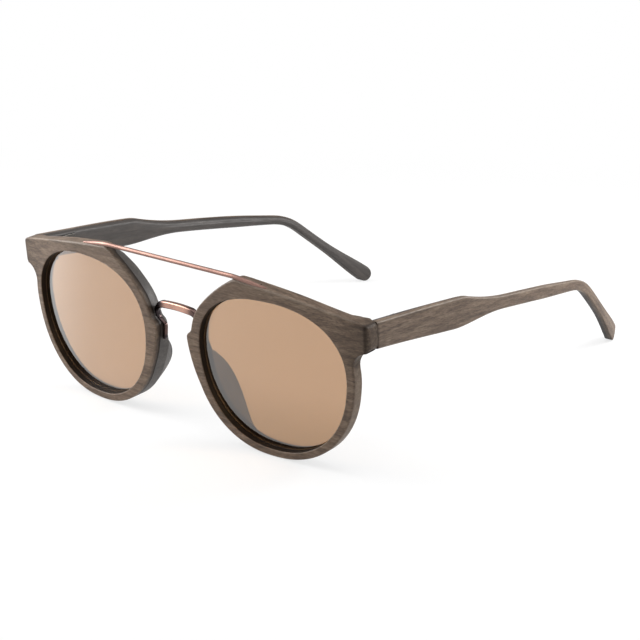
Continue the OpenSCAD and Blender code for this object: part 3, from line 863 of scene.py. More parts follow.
    def brow_run(self, count: int = 80) -> Run:
        """Brow line, from the end piece to the nose corner.

        Args:
            count: Number of points.

        Returns:
            The run.
        """
        x = np.linspace(self.end_x - 2 * self.end_round, self.corner_x + 2 * self.end_round, count)
        past, over = self.brow_clear
        inward = -self.brow_w * np.clip((self.flat_x + past - x) / over, 0, 1)
        turns = np.linspace(self.end_turns[1] + 1, self.corner_turn, count)
        return np.stack([x, self.brow(x)], -1), np.stack([0 * x, inward], -1), turns

    def shoulder_run(self, count: int = 20) -> Run:
        """Shoulder: a slightly bulged line from the brow's nose corner to the oval.

        Args:
            count: Number of points.

        Returns:
            The run.
        """
        u = np.linspace(0, 1, count)[:, None]
        corner = np.array([self.corner_x, float(self.brow(self.corner_x))])
        low = self.oval(*self.rim, self.shoulder_turn)
        way = math.radians(self.shoulder_way)
        bulge = 4 * self.shoulder_bulge * u * (1 - u) * (-math.sin(way), math.cos(way))
        draw = np.array([self.brow_w / 3, -self.brow_w])
        inward = draw + (self.oval(*self.hole, self.shoulder_turn) - low - draw) * u
        turns = np.linspace(self.corner_turn + 1, self.shoulder_turn, count)
        return corner + (low - corner) * u + bulge, inward, turns

    def flare_run(self, count: int = 40) -> Run:
        """Nose flare: the rim's nose side, widened from nothing at its foot to its full width at its top.

        Args:
            count: Number of points.

        Returns:
            The run.
        """
        v = np.linspace(self.flare_top, self.flare_foot, count)
        flare = self.rim_nasal_x(v) - self.flare_w * (v - self.flare_foot) / self.flare_l
        drawn = self.nasal_w * np.clip((v - self.lens_v) / self.notch, 0, 1)
        return np.stack([flare, v], -1), np.stack([drawn, 0 * v], -1), 180 - self.rim_angle(v)

    def oval_run(self, turns: Array, free: Array | float) -> Run:
        """Stretch of the rim's oval, its back drawn in to the lens opening by a share."""
        points = self.oval(*self.rim, turns)
        return points, (self.oval(*self.hole, turns) - points) * free, turns

    def outline(self, count: int = 640, soften: float = 0.65) -> RimOutline:
        """Draws the left rim: fillet, end piece, brow, shoulder, oval, nose flare and lower oval.

        Each run gives its points, how they draw in at the back, and the angle of the lens opening
        opposite. Small gaps between them are left for the rounding. The whole is then spaced evenly and its
        corners rounded.

        Args:
            count: Number of points.
            soften: Rounding of the corners in mm.

        Returns:
            The outline.
        """
        notch_turn = 180 - float(self.rim_angle(self.flare_top + self.notch_h))
        gap, wide_gap = 4, 6
        upper = np.linspace(self.shoulder_turn + gap, notch_turn, 40)
        foot_turn = 180 - float(self.rim_angle(self.flare_foot))
        lower = np.linspace(foot_turn + wide_gap, 360 + self.fillet_turn - wide_gap, 240)
        off_pad = np.maximum(self.pad_ends[0] - lower, lower - self.pad_ends[1])
        runs = (
            self.fillet_run(),
            self.end_run(),
            self.brow_run(),
            self.shoulder_run(),
            self.oval_run(upper, 1.0),
            self.flare_run(),
            self.oval_run(lower, np.clip(off_pad / self.pad_free, 0, 1)[:, None]),
        )
        outer, inward, turns = (np.concatenate(part) for part in zip(*runs))
        values = np.concatenate([outer, inward, turns[:, None]], 1)
        values = np.concatenate([values, values[:1] + (0, 0, 0, 0, 360)])
        along = way_along(values[:, :2])
        even = np.linspace(0, along[-1], count, endpoint=False)
        spaced = np.stack([np.interp(even, along, column) for column in values.T], -1)
        ramp = np.linspace(0, 360, count, endpoint=False)
        spaced[:, 4] -= ramp
        spaced = softened(spaced, along[-1] / count, soften)
        turns = spaced[:, 4] + ramp
        return RimOutline(spaced[:, :2], spaced[:, 2:4], self.oval(*self.hole, turns), turns)


@dataclass
class Rim:
    """One rim: its two glued wood layers, its lens and its nose pad.

    A span is four angles round the lens in degrees: where a stretch starts, how long it takes to come in,
    where it ends and how long it takes to go out.
    """

    side: Side
    form: FrontForm
    line: RimOutline
    inner_r: float = 0.3  # Rounding of the front layer at the lens opening.
    outer_r: float = 0.5  # Rounding of the front layer's outer edge.
    brow_r: float = 0.85  # Rounding of that edge along the brow.
    brow_lip: float = 0.5  # Share of the back layer's thickness that the front layer covers along the brow.
    side_lip: float = 0.3  # The same share on the temporal side.
    end_fall: float = 0.8  # How far the end piece's top falls towards the temple.
    back_fall: float = 1.05  # How much further than that the back layer falls, as a factor.
    step: float = 0.22  # How much wider the front layer's opening is than the back layer's.
    slack: float = 0.02  # Room in mm that the front layer leaves at the temple's seam.
    # Share of their distance from the rim's back by which places stopped at the flat back stay off it.
    bunch: float = 0.02
    back_round: float = 0.8  # Share of the rim's width that is rounded off at the back.
    back_inset: float = 0.5  # How far the back layer stays inside the outline where it isn't rounded off.
    back_r: float = 0.4  # Rounding of the back layer at the lens opening.
    lip_step: float = 0.04  # Share of the rounding by which the back layer steps in right behind the lip.
    relief: float = 1.1  # How far the opening widens behind the lens, above the nose pad.
    relief_d: float = 3.2  # Depth at which that widening starts.
    relief_round: float = 0.45  # Share of the rim's width that is rounded off at the back there.
    lens_t: float = 1.6  # Thickness of the lens.
    lens_r: float = 320.0  # Radius of the lens's front face.
    lens_depth: float = 1.3  # Depth of the lens behind the front face.
    lens_seat: float = 0.64  # How far the lens reaches into its groove.
    pad_d: float = 6.0  # Height of the nose pad.
    pad_ridge: float = 0.84  # Place of the pad's ridge across it, as a share from the nose side.
    # How much of the slope up to the ridge is a quarter sine; the rest is straight.
    pad_belly: float = 0.34
    # Powers of the pad's height from its upper and from its lower end.
    pad_powers: tuple[float, float] = (0.75, 1.25)
    pad_least: float = 0.05  # Height of the pad's ends.
    # How far the pad's edges lie under the rim's back, as a share of its height, and at most.
    pad_sunk: tuple[float, float] = (0.1, 0.3)
    # Where across the pad its painted shade starts, and over how much it comes in, as shares.
    pad_shade: tuple[float, float] = (0.5, 0.25)
    # Distance from the end piece's side and width of the line of painted shade along its upright edge.
    crease: tuple[float, float] = (0.8, 0.4)
    brow_span: tuple[float, ...] = (40, 12, 116, 10)  # The brow.
    temporal_span: tuple[float, ...] = (-75, 40, 38, 4)  # The temporal side, up to the end piece.
    plain_span: tuple[float, ...] = (-75, 40, 112, 6)  # The stretch whose outer wall isn't darkened by staining and painted shade.
    end_span: tuple[float, ...] = (14, 4, 52, 8)  # The end piece.
    # Where the front layer reaches back to the temple's seam.
    cap_span: tuple[float, ...] = (34, 4, 60, 12)
    fall_span: tuple[float, ...] = (46, 6, 84, 28)  # Where the end piece's top falls.
    # The stretch above the pad, its end counted from the pad's start.
    shoulder_span: tuple[float, ...] = (108, 20, 1, 8)
    pad_ease: float = 5  # Angle over which the pad's own stretch comes in and goes out.

    def __post_init__(self) -> None:
        """Marks stretches of the outline with shares from 0 to 1, and works out the way across the rim."""
        t = self.line.turn
        past = np.where(t > 200, t - 360, t)
        top, low = self.form.pad_ends
        self.brow = stretch(t, *self.brow_span)
        self.temporal = stretch(past, *self.temporal_span)
        self.plain = stretch(past, *self.plain_span)
        self.end = stretch(past, *self.end_span)
        self.cap = stretch(t, *self.cap_span)
        self.falling = stretch(t, *self.fall_span)
        start, rise, past_top, fall = self.shoulder_span
        self.shoulder = stretch(t, start, rise, top + past_top, fall)
        self.padded = stretch(t, top, self.pad_ease, low, self.pad_ease)
        self.lip = np.maximum(self.brow_lip * self.brow, self.side_lip * self.temporal)
        self.reach = self.line.outer - self.line.opening
        self.length = np.linalg.norm(self.reach, axis=1)[:, None]

    def end_drop(self, deep: Array) -> Array:
        """How far the end piece's top lies under the brow line at a depth: its fall by the power 1.5."""
        return self.end_fall * self.falling * np.clip(deep / self.form.rim_t, 0, 1) ** 1.5

    def settled(self, flat: Array, deep: Array) -> Array:
        """Lays places of the rim at a depth behind the front face, but not past the end piece's flat back.

        Args:
            flat: Places as x and v.
            deep: Depth of each behind the front face.

        Returns:
            Points in the front's own frame: x, d and v.
        """
        form, x = self.form, flat[..., 0]
        d = np.minimum(form.depth(x) + deep, form.seam_d - self.bunch * (form.rim_t - deep))
        return np.stack([x, d, flat[..., 1]], -1)

    def ring(self, local: Array, edge: Array) -> Shell:
        """Closes a ring of sections into a shell in the shared frame, with its grain along x."""
        points = self.form.place(local[..., 0], local[..., 1], local[..., 2])
        return grid_shell(points, local[..., [0, 2, 1]], edge, wrap=True).mirrored(self.side)

    def front_layer(self) -> Shell:
        """Front layer: round the outline, a section from the opening's wall over the face to the outer wall.

        A place in the section is the opening's point plus a share of the way to the outer edge. Its edges
        are quarter circles, r (1 - cos) in and r (1 - sin) deep, wider along the brow. The outer wall
        reaches further back over the brow, and on the end piece as far as the temple's seam.

        Returns:
            The shell.
        """
        form, length, q = self.form, self.length, quarter(8)
        one = np.ones_like(length)
        outer_r = self.outer_r + (self.brow_r - self.outer_r) * self.brow
        back = form.front_t + (form.back_t - self.slack) * np.maximum(self.cap, self.lip)
        walls = np.linspace(form.front_t, self.inner_r, 5)[None, :-1]
        start = (self.step + self.inner_r * (1 - np.cos(q))) / length
        end = 1 - outer_r * (1 - np.cos(q[::-1])) / length
        u = 1 - (1 - np.linspace(0, 1, 26)[1:-1]) ** 1.5
        face = start[:, -1:] + (end[:, :1] - start[:, -1:]) * u
        outside = np.linspace(0, 1, 5)[1:]
        share = np.concatenate([self.step / length + 0 * walls, start, face, end, one + 0 * outside], 1)
        deep = np.concatenate(
            [
                walls * one,
                self.inner_r * (1 - np.sin(q)) * one,
                0 * face,
                outer_r * (1 - np.sin(q[::-1])),
                outer_r + (back - outer_r) * outside,
            ],
            1,
        )
        flat = self.line.opening[:, None] + share[..., None] * self.reach[:, None]
        outer_at = walls.size + q.size + u.size
        flat[:, outer_at:, 1] -= self.end_drop(deep[:, outer_at:])
        edge = self.front_wear(flat[..., 0], walls.size, q, u, outside)
        return self.ring(self.settled(flat, deep), edge)

    def front_wear(self, x: Array, walls: int, q: Array, u: Array, outside: Array) -> Array:
        """Wear, staining and painted light over the front layer's section.

        The opening's wall is dark with staining, and both edges are paled for wear and painted highlights.
        The outer wall is darkened where it isn't plain, by staining and by painted shade, and the temporal
        side gets a painted highlight. The end piece gets painted shade outwards, and a line of painted shade
        along its upright edge.

        Args:
            x: Distance across of each point.
            walls: Number of points on the opening's wall.
            q: Angles of the points on an edge's quarter circle.
            u: Shares across the face.
            outside: Shares down the outer wall.

        Returns:
            The edge values.
        """
        # Shares of wear with painted highlight on the edges, painted highlight on the temporal wall, staining
        # with painted shade on the other walls, and painted shade on the end piece.
        inner_wear_and_highlight, outer_wear_and_highlight, side_highlight, side_stain_and_shade, end_shade, crease_shade = 0.6, 0.8, 0.5, 0.3, 0.4, 0.35
        inner = np.zeros(walls + q.size)
        cut = [np.full(walls, -1.0), inner_wear_and_highlight * np.sin(2 * q) - np.cos(q) ** 2]
        wear_and_painted_light = np.concatenate([*cut, 0 * u, outer_wear_and_highlight * np.sin(2 * q), 0 * outside])
        rounding = side_stain_and_shade - side_stain_and_shade * np.sin(q[::-1])
        sides = np.concatenate([inner, 0 * u, rounding, side_stain_and_shade + (1 - side_stain_and_shade) * outside])
        # Share of the end piece's painted shade: none in the opening, rising across the face, full outside.
        shade_share = np.concatenate([inner, u, np.ones(q.size + outside.size)])
        bare = np.maximum(self.end, self.temporal)
        # A line of painted shade along the end piece's upright edge.
        inset, width = self.crease
        crease = np.exp(-(((x - self.form.end_x + inset) / width) ** 2)) * self.end
        # Painted highlight on the temporal outer wall, short of the end piece.
        pale = side_highlight * self.temporal * (1 - self.end) * (sides > 0.2)
        # Staining with painted shade on the walls, and painted shade on the end piece and its edge.
        stain_and_shade = (1 - self.plain) * sides + end_shade * self.end * shade_share + crease_shade * crease
        return wear_and_painted_light * (1 - bare * (shade_share > 0)) - stain_and_shade + pale

    def back_layer(self) -> Shell:
        """Back layer: a section from the opening's wall over the back face to a long rounding at the outside.

        The outside is a quarter of an ellipse: the outline drawn in by its share times 1 - cos, at the
        front layer's depth plus the back layer's thickness times sin. Along the brow and the temporal
        side it falls away in a straight slope behind the front layer's lip instead. Between the brow and
        the nose pad the opening's wall slopes outwards behind the lens.

        Returns:
            The shell.
        """
        form, length, q = self.form, self.length, quarter(6)
        drawn = np.linalg.norm(self.line.inward, axis=1)[:, None]
        sharp = np.clip(1 - drawn / length, 0, 1) * (1 - self.padded)
        rounded = self.back_round + (self.relief_round - self.back_round) * self.shoulder
        pull = rounded * self.line.inward - self.back_inset * sharp * self.reach / length
        foot = form.rim_t - self.back_r
        wall = np.linspace(form.front_t + self.step, foot, 7)[1:-1]
        off = np.concatenate([self.step * (1 - np.sin(q)), 0 * wall, self.back_r * (1 - np.cos(q))])
        deep = np.concatenate(
            [form.front_t + self.step * (1 - np.cos(q)), wall, form.rim_t - self.back_r * (1 - np.sin(q))]
        )
        widened = np.clip((deep - self.relief_d) / (foot - self.relief_d), 0, 1)
        off = off + self.relief * self.shoulder * widened
        hole = self.line.opening[:, None] + (off / length)[..., None] * self.reach[:, None]
        turn = quarter(14)[::-1]
        behind = form.front_t + form.back_t * np.sin(turn)
        lipped = np.maximum(self.brow, self.temporal)
        fall = np.clip((np.sin(turn) - self.lip) / (1 - self.lip), 0, 1)
        slope = self.lip_step + (1 - self.lip_step) * fall
        draw = (1 - np.cos(turn)) * (1 - lipped) + slope * lipped
        outside = self.line.outer[:, None] + pull[:, None] * draw[..., None]
        outside[..., 1] -= self.end_drop(behind) * self.back_fall
        u = np.linspace(0, 1, 8)[1:-1, None]
        face = hole[:, -1:] + (outside[:, :1] - hole[:, -1:]) * u
        flat = np.concatenate([hole, face, outside], 1)
        deeps = np.concatenate([deep, np.full(u.size, form.rim_t), behind])
        # The opening's edges are paled for wear and painted highlight; its wall is dark with staining.
        rubbed_and_highlit = np.sin(2 * q)
        cut = [rubbed_and_highlit - np.cos(q), np.full(wall.size, -1.0), rubbed_and_highlit - np.cos(q) ** 2]
        wear_and_painted_light = np.concatenate([*cut, np.zeros(u.size + turn.size)])
        return self.ring(self.settled(flat, np.broadcast_to(deeps, flat.shape[:2])), wear_and_painted_light[None])

    def lens(self) -> Shell:
        """Lens: rings of its outline, from the middle out on the front ball and back in on the rear one.

        Returns:
            The shell.
        """
        form = self.form
        tilt = math.asin(form.lens_x / form.front_r)
        behind = self.lens_depth + self.lens_r
        ball = np.array([form.lens_x - behind * math.sin(tilt), form.lens_v])
        turn = np.linspace(0, 360, 240, endpoint=False)
        rim = form.oval(form.lens_x, form.lens_a + self.lens_seat, form.lens_b + self.lens_seat, turn)
        out = np.linspace(0.03, 1, 22)
        share = np.concatenate([out, out[::-1]])[:, None, None]
        radius = np.repeat([self.lens_r, self.lens_r - self.lens_t], out.size)[:, None]
        centre = np.array([form.lens_x, form.lens_v])
        flat = centre + share * (rim - centre)
        d = form.lean_y + behind * math.cos(tilt) - np.sqrt(radius**2 - ((flat - ball) ** 2).sum(-1))
        grain = np.concatenate([flat - centre, d[..., None]], -1)
        return grid_shell(form.place(flat[..., 0], d, flat[..., 1]), grain).mirrored(self.side)

    def pad(self) -> Shell:
        """Nose pad: a long dome on the rim's back, its ridge at the lens side and a slope down to the nose.

        Along the rim its height goes with u^p (1 - u)^q, u from 0 at its top to 1 at its drawn-out lower
        end, so that it is highest above its middle. Across, it rises to the ridge and falls in a
        quarter turn.

        Returns:
            The shell.
        """
        form = self.form
        u = 0.5 + 0.5 * np.sin(np.linspace(-np.pi / 2, np.pi / 2, 64))
        top, low = form.pad_ends
        outer, inner = (form.oval(*oval, top + (low - top) * u) for oval in (form.rim, form.hole))
        rise, fall = np.linspace(0, 1, 20), quarter(12)[1:]
        sunk, deepest = self.pad_sunk
        slope = (1 - self.pad_belly) * rise + self.pad_belly * np.sin(rise * np.pi / 2)
        over = self.pad_ridge + (1 - self.pad_ridge) * np.sin(fall)
        wide = rolled(np.concatenate([[0.0], self.pad_ridge * rise, over, [1.0]]), 3)
        high = rolled(np.concatenate([[-sunk], slope, np.cos(fall), [-sunk]]), 3)
        upper, lower = self.pad_powers
        profile = np.clip(u, 0, 1) ** upper * np.clip(1 - u, 0, 1) ** lower
        swell = (profile / profile.max())[:, None]
        height = self.pad_d * swell + self.pad_least
        flat = outer[:, None] + (inner - outer)[:, None] * wide[:, None]
        d = form.arc_depth(flat[..., 0]) + form.rim_t + np.maximum(height * high, -deepest)
        grain = np.stack([flat[..., 1], flat[..., 0], d], -1)
        # Painted shade on the pad's lens side, fading out towards its ends.
        start, over_share = self.pad_shade
        shade = -np.sqrt(swell) * eased((wide - start) / over_share)
        return grid_shell(form.place(flat[..., 0], d, flat[..., 1]), grain, shade).mirrored(self.side)

    def build(self, finishes: Finishes) -> None:
        """Makes and dresses the rim's four pieces.

        Args:
            finishes: The object's finishes.
        """
        label = self.side.label
        for name, shell, finish, slot in (
            ("rim_front", self.front_layer(), finishes.walnut, "walnut"),
            ("rim_back", self.back_layer(), finishes.ebony, "ebony"),
            ("lens", self.lens(), finishes.lens, "brown_lens"),
            ("nose_pad", self.pad(), finishes.ebony, "ebony"),
        ):
            show(f"{label}_{name}", shell, "front", finish)


@dataclass
class MetalBridges:
    """The brow bar and the lower bridge, which hold the rims together."""

    form: FrontForm
    bar_r: float = 0.66  # Radius of the brow bar.
    bar_rise: float = 0.4  # Height of the bar's axis above the brow line.
    bar_in: float = 0.6  # Depth of the bar's axis behind the front face.
    tail_l: float = 11.5  # Length of each of the bar's tails on a rim's top edge.
    tail_in: float = 0.25  # How much deeper the tail ends.
    tail_drop: float = 0.45  # How much lower the tail ends.
    tail_taper: float = 7.0  # Length over which the tail thins.
    tail_thin: float = 0.6  # Thickness that is left at the tail's end, as a share.
    tail_tip: float = 1.6  # Length of the tail's rounded end.
    strap_h: float = 2.1  # Height of the lower strap.
    strap_t: float = 1.8  # Depth of the strap.
    strap_d: float = 2.5  # Depth of the strap's front face.
    strap_w: float = 10.4  # Width between the strap's bends.
    strap_arch: float = 0.25  # Rise of the strap's middle.
    strap_up: float = 13.0  # Height of the strap's top above the lens middle.
    strap_drop: float = 4.2  # Height of the bends.
    strap_power: float = 0.45  # Power of the strap's section, which makes it nearly rectangular.
    leg_t: float = 1.1  # Thickness of the legs.
    leg_inlay: float = 0.6  # Depth of the legs in the rims.
    leg_up: float = 1.0  # Height of the legs' ends above the lens middle.
    # Start above the flare's top, and height, of the legs' step over it.
    leg_step: tuple[float, float] = (1.6, 2.4)
    leg_slim: float = 0.35  # How much slimmer the legs are from front to back, as a share.
    leg_tip: float = 0.5  # Length of the legs' rounded ends.
    leg_stain: float = 0.85  # How dark the bends and legs are.

    def bar(self) -> Shell:
        """Brow bar: a round section along a straight middle and two tails that follow the brow lines.

        The tails thin a little, and each end closes as a quarter ellipse.

        Returns:
            The shell.
        """
        form, rounds, almost = self.form, 24, 0.9998
        bend = form.corner_x - self.bar_r
        end = bend + self.tail_l
        x = np.linspace(-end, end, 400)
        away = np.clip(np.abs(x), bend, end)
        sunk = eased((away - bend) / self.tail_l)
        d = rolled(form.arc_depth(away) + self.bar_in + self.tail_in * sunk, rounds)
        v = rolled(form.brow(away) + self.bar_rise - self.tail_drop * sunk, rounds)
        path = form.place(x, d, v)
        way = unit(np.gradient(path, axis=0))
        across = unit(np.cross(way, (0, 0, 1)))
        left = end - np.abs(x)
        close = np.sqrt(1 - np.clip(1 - left / self.tail_tip, 0, almost) ** 2)
        thin = self.tail_thin + (1 - self.tail_thin) * eased(left / self.tail_taper)
        radius = self.bar_r * thin * close
        return carried(path, across, np.cross(across, way), radius, radius, 1.0)

    def strap_edges(self, leg_top: float) -> list[Array]:
        """Upper and lower edge lines of the lower bridge: an arch, two bends and two legs.

        Args:
            leg_top: Height where the bends end.

        Returns:
            Both lines, as x and v.
        """
        form, half = self.form, self.strap_w / 2
        u, t = np.linspace(0, 1, 16)[:-1], quarter(22)
        v = np.linspace(leg_top, form.lens_v + self.leg_up, 26)
        above, high = self.leg_step
        flare = form.flare_w * (v - form.flare_foot) / form.flare_l + self.leg_inlay
        wall = form.rim_nasal_x(v) + self.leg_inlay - flare * eased((form.flare_top + above - v) / high)
        edges = []
        for drop, inset in ((0.0, 0.0), (self.strap_h, self.leg_t)):
            top = form.lens_v + self.strap_up - drop
            arch = np.stack([half * u, top + self.strap_arch * (1 - u**2)], -1)
            out = half + (wall[0] - inset - half) * np.sin(t)
            bend = np.stack([out, leg_top + (top - leg_top) * np.cos(t)], -1)
            right = np.concatenate([arch, bend, np.stack([wall - inset, v], -1)[1:]])
            edges.append(np.concatenate([right[:0:-1] * (-1, 1), right]))
        return edges

    def strap(self) -> Shell:
        """Lower bridge: a nearly rectangular section between its two edge lines.

        Returns:
            The shell.
        """
        form, half = self.form, self.strap_w / 2
        leg_top = form.lens_v + self.strap_up - self.strap_drop
        outer, inner = self.strap_edges(leg_top)
        middle, spread = (outer + inner) / 2, (outer - inner) / 2
        size = np.linalg.norm(spread, axis=1)
        along = way_along(middle)
        left = np.minimum(along, along[-1] - along)
        blunt = 0.02
        close = np.sqrt(1 - (1 - np.clip(left / self.leg_tip, blunt, 1)) ** 2)
        centre = form.place(middle[:, 0], self.strap_d + self.strap_t / 2, middle[:, 1])
        across = form.place(spread[:, 0] / size, 0, spread[:, 1] / size) - form.place(0, 0, 0)
        deep = np.broadcast_to(form.backwards, across.shape)
        out, under = np.abs(middle[:, 0]) / half, leg_top - middle[:, 1]
        bend_from, bend_over, dark_above, slim_above, slim_over = 0.7, 0.6, 2.0, 1.0, 4.0
        dark_bend = eased((out - bend_from) / bend_over)
        dark = np.maximum(dark_bend, eased((under + dark_above) / dark_above))
        slim = 1 - self.leg_slim * eased((under + slim_above) / slim_over)
        thick = self.strap_t / 2 * close * slim
        return carried(centre, across, deep, size * close, thick, self.strap_power, -self.leg_stain * dark)

    def build(self, finishes: Finishes) -> None:
        """Makes and dresses the bar and the bridge."""
        show("brow_bar", self.bar(), "front", finishes.copper)
        show("bridge", self.strap(), "front", finishes.dark_copper)


@dataclass
class Hinge:
    """One barrel hinge: two leaves with knuckles, its screw and the slotted leaf screws."""

    side: Side
    form: FrontForm
    temple_t: float = 3.6  # Thickness of the temple.
    knuckle_r: float = 1.25  # Radius of the knuckles.
    knuckle_round: float = 0.12  # Rounding of the knuckles' rims.
    height: float = 5.4  # Height over the three knuckles.
    middle_h: float = 2.0  # Height of the temple's knuckle.
    gap: float = 0.06  # Gap between knuckles.
    clear: float = 0.2  # Clearance round the knuckles.
    leaf_t: float = 0.9  # Thickness of the leaves.
    leaf_l: float = 9.0  # Length of the temple's leaf.
    leaf_in: float = 0.3  # Distance of the front's leaf from the flat back's inner edge.
    leaf_less: float = 0.5  # How much shorter the temple's leaf is than the knuckles, at either end.
    leaf_gap: float = 0.1  # Room between the knuckles' clearance and the temple's leaf.
    arm_over: float = 0.05  # How far the front's arms reach in front of the knuckles.
    head_r: float = 1.05  # Radius of the hinge screw's head.
    head_h: float = 0.6  # Height of the hinge screw's head.
    head_dome: float = 0.25  # Height of that head's dome.
    leaf_head_r: float = 0.8  # Radius of the leaf screws' heads.
    leaf_screw_in: float = 1.6  # Distance of the temple's leaf screws from the leaf's ends.
    slot_turn: float = 1.1  # Turn from one leaf screw's slot to the next, in radians.
    slot_deep: float = 0.16  # Depth of the slots under the heads' rims.
    round_r: float = 0.18  # Rounding of the leaves' edges.

    def __post_init__(self) -> None:
        """Works the axis and the leaves' places out."""
        form, off = self.form, self.knuckle_r + self.clear
        self.z = form.hinge_z
        self.inner_x = form.end_x - self.temple_t
        self.x = self.inner_x - off
        seam = float(form.place(0, form.seam_d, form.hinge_v)[1])
        self.y = seam + off + self.height / 2 * math.tan(math.radians(form.lean))
        self.leaf_x = (form.flat_x + self.leaf_in, self.x - off)
        self.leaf_y = self.y + off + self.leaf_gap

    def knuckle(self, low: float, high: float) -> Shell:
        """A knuckle on the axis from one height to another, its rims rounded.

        Args:
            low: Height of its lower end.
            high: Height of its upper end.

        Returns:
            The closed shell.
        """
        r, c, q, axis = self.knuckle_r, self.knuckle_round, quarter(5), [0.02]
        radii = np.concatenate([axis, r - c + c * np.sin(q), r - c + c * np.cos(q), axis])
        heights = np.concatenate([[low], low + c - c * np.cos(q), high - c + c * np.sin(q), [high]])
        return revolved(radii, heights).placed(np.eye(3), np.array([self.x, self.y, 0]))

    def slotted(self, head_r: float, dome: float, shank_r: float, shank_l: float, slot: float) -> Shell:
        """A screw along Z, its head's rim at 0: a low dome with a slot, a rim and a shank below.

        Args:
            head_r: Radius of the head.
            dome: Height of the dome.
            shank_r: Radius of the shank.
            shank_l: Depth of the shank's end.
            slot: Width of the slot.

        Returns:
            The closed shell.
        """
        rim, soft = 0.3, 0.04
        r = np.linspace(0.03, 1, 22) * head_r
        radii = np.concatenate([r, [head_r, shank_r, shank_r, 0.05]])
        heights = np.concatenate([dome * (1 - (r / head_r) ** 2), [-rim, -rim, -shank_l, -shank_l]])
        screw = revolved(radii, heights, 64)
        x, y, z = screw.points.T
        on_head = (np.hypot(x, y) < head_r * 1.01) * (z > -0.05)
        in_slot = eased((slot / 2 + soft - np.abs(x)) / (2 * soft)) * on_head
        screw.points[:, 2] -= in_slot * (dome + self.slot_deep)
        return screw

    def front_leaf(self) -> Shell:
        """The end piece's leaf: a rounded plate leaning with the front, and two knuckles on short arms.

        Returns:
            The shell.
        """
        form, half = self.form, self.height / 2
        x0, x1 = self.leaf_x
        corner = (x1, form.seam_d + self.leaf_t, form.hinge_v + half)
        leaf = rounded_box((x0, form.seam_d, form.hinge_v - half), corner, self.round_r)
        leaf.points = form.place(*leaf.points.T)
        high = (self.height - self.middle_h) / 2 - self.gap
        for low in (self.z - half, self.z + half - high):
            corner = (x1 - self.leaf_t, self.y - self.knuckle_r - self.arm_over, low)
            arm = rounded_box(corner, (self.x, self.y, low + high), self.round_r)
            leaf = leaf.joined(arm).joined(self.knuckle(low, low + high))
        return leaf.mirrored(self.side)

    def temple_leaf(self) -> Shell:
        """The temple's leaf: a rounded plate on its inner face, and the middle knuckle on a short arm.

        Returns:
            The shell.
        """
        half, mid = self.height / 2 - self.leaf_less, self.middle_h / 2
        corner = (self.inner_x - self.leaf_t, self.leaf_y, self.z - half)
        leaf = rounded_box(corner, (self.inner_x, self.leaf_y + self.leaf_l, self.z + half), self.round_r)
        corner = (self.inner_x, self.leaf_y + self.leaf_t, self.z + mid)
        arm = rounded_box((self.x, self.y, self.z - mid), corner, self.round_r)
        return leaf.joined(arm).joined(self.knuckle(self.z - mid, self.z + mid)).mirrored(self.side)

    def leaf_screws(self, places: list[Array], out: Array, turn: float) -> Shell:
        """Two slotted screws at given places, their heads towards out.

        Args:
            places: Middles of the heads in mm.
            out: Unit direction that the heads look in.
            turn: Turn of the first slot in radians; the second is turned on.

        Returns:
            The shell.
        """
        side = unit(np.cross(out, (0.0, 0.0, 1.0)))
        up = np.cross(out, side)
        screws = []
        for k, place in enumerate(places):
            c, s = math.cos(turn + self.slot_turn * k), math.sin(turn + self.slot_turn * k)
            matrix = np.stack([c * side + s * up, c * up - s * side, out], 1)
            screw = self.slotted(self.leaf_head_r, dome=0.12, shank_r=0.45, shank_l=2.3, slot=0.26)
            screws.append(screw.placed(matrix, place))
        first, second = screws
        return first.joined(second).mirrored(self.side)

    def pin(self) -> Shell:
        """The hinge screw, its head on the upper knuckle and its shank through all three.

        Returns:
            The shell.
        """
        screw = self.slotted(self.head_r, self.head_dome, shank_r=0.65, shank_l=self.height + 0.2, slot=0.32)
        rim = self.z + self.height / 2 + self.head_h - self.head_dome
        return screw.placed(np.eye(3), np.array([self.x, self.y, rim])).mirrored(self.side)

    def build(self, finishes: Finishes) -> None:
        """Makes and dresses the hinge.

        Args:
            finishes: The object's finishes.
        """
        label, form = self.side.label, self.form
        arm = f"{label}_arm"
        middle, back = sum(self.leaf_x) / 2, form.seam_d + self.leaf_t
        backs = [form.place(middle, back, form.hinge_v + s * self.height / 4) for s in (-1, 1)]
        inside, ends = self.inner_x - self.leaf_t, (self.leaf_screw_in, self.leaf_l - self.leaf_screw_in)
        insides = [np.array([inside, self.leaf_y + s, self.z]) for s in ends]
        inwards = np.array([-1.0, 0.0, 0.0])
        for name, shell, body in (
            ("front_hinge_leaf", self.front_leaf(), "front"),
            ("temple_hinge_leaf", self.temple_leaf(), arm),
            ("hinge_screw", self.pin(), "front"),
            ("front_leaf_screws", self.leaf_screws(backs, form.backwards, turn=0.4), "front"),
            ("temple_leaf_screws", self.leaf_screws(insides, inwards, turn=0.9), arm),
        ):
            show(f"{label}_{name}", shell, body, finishes.steel)


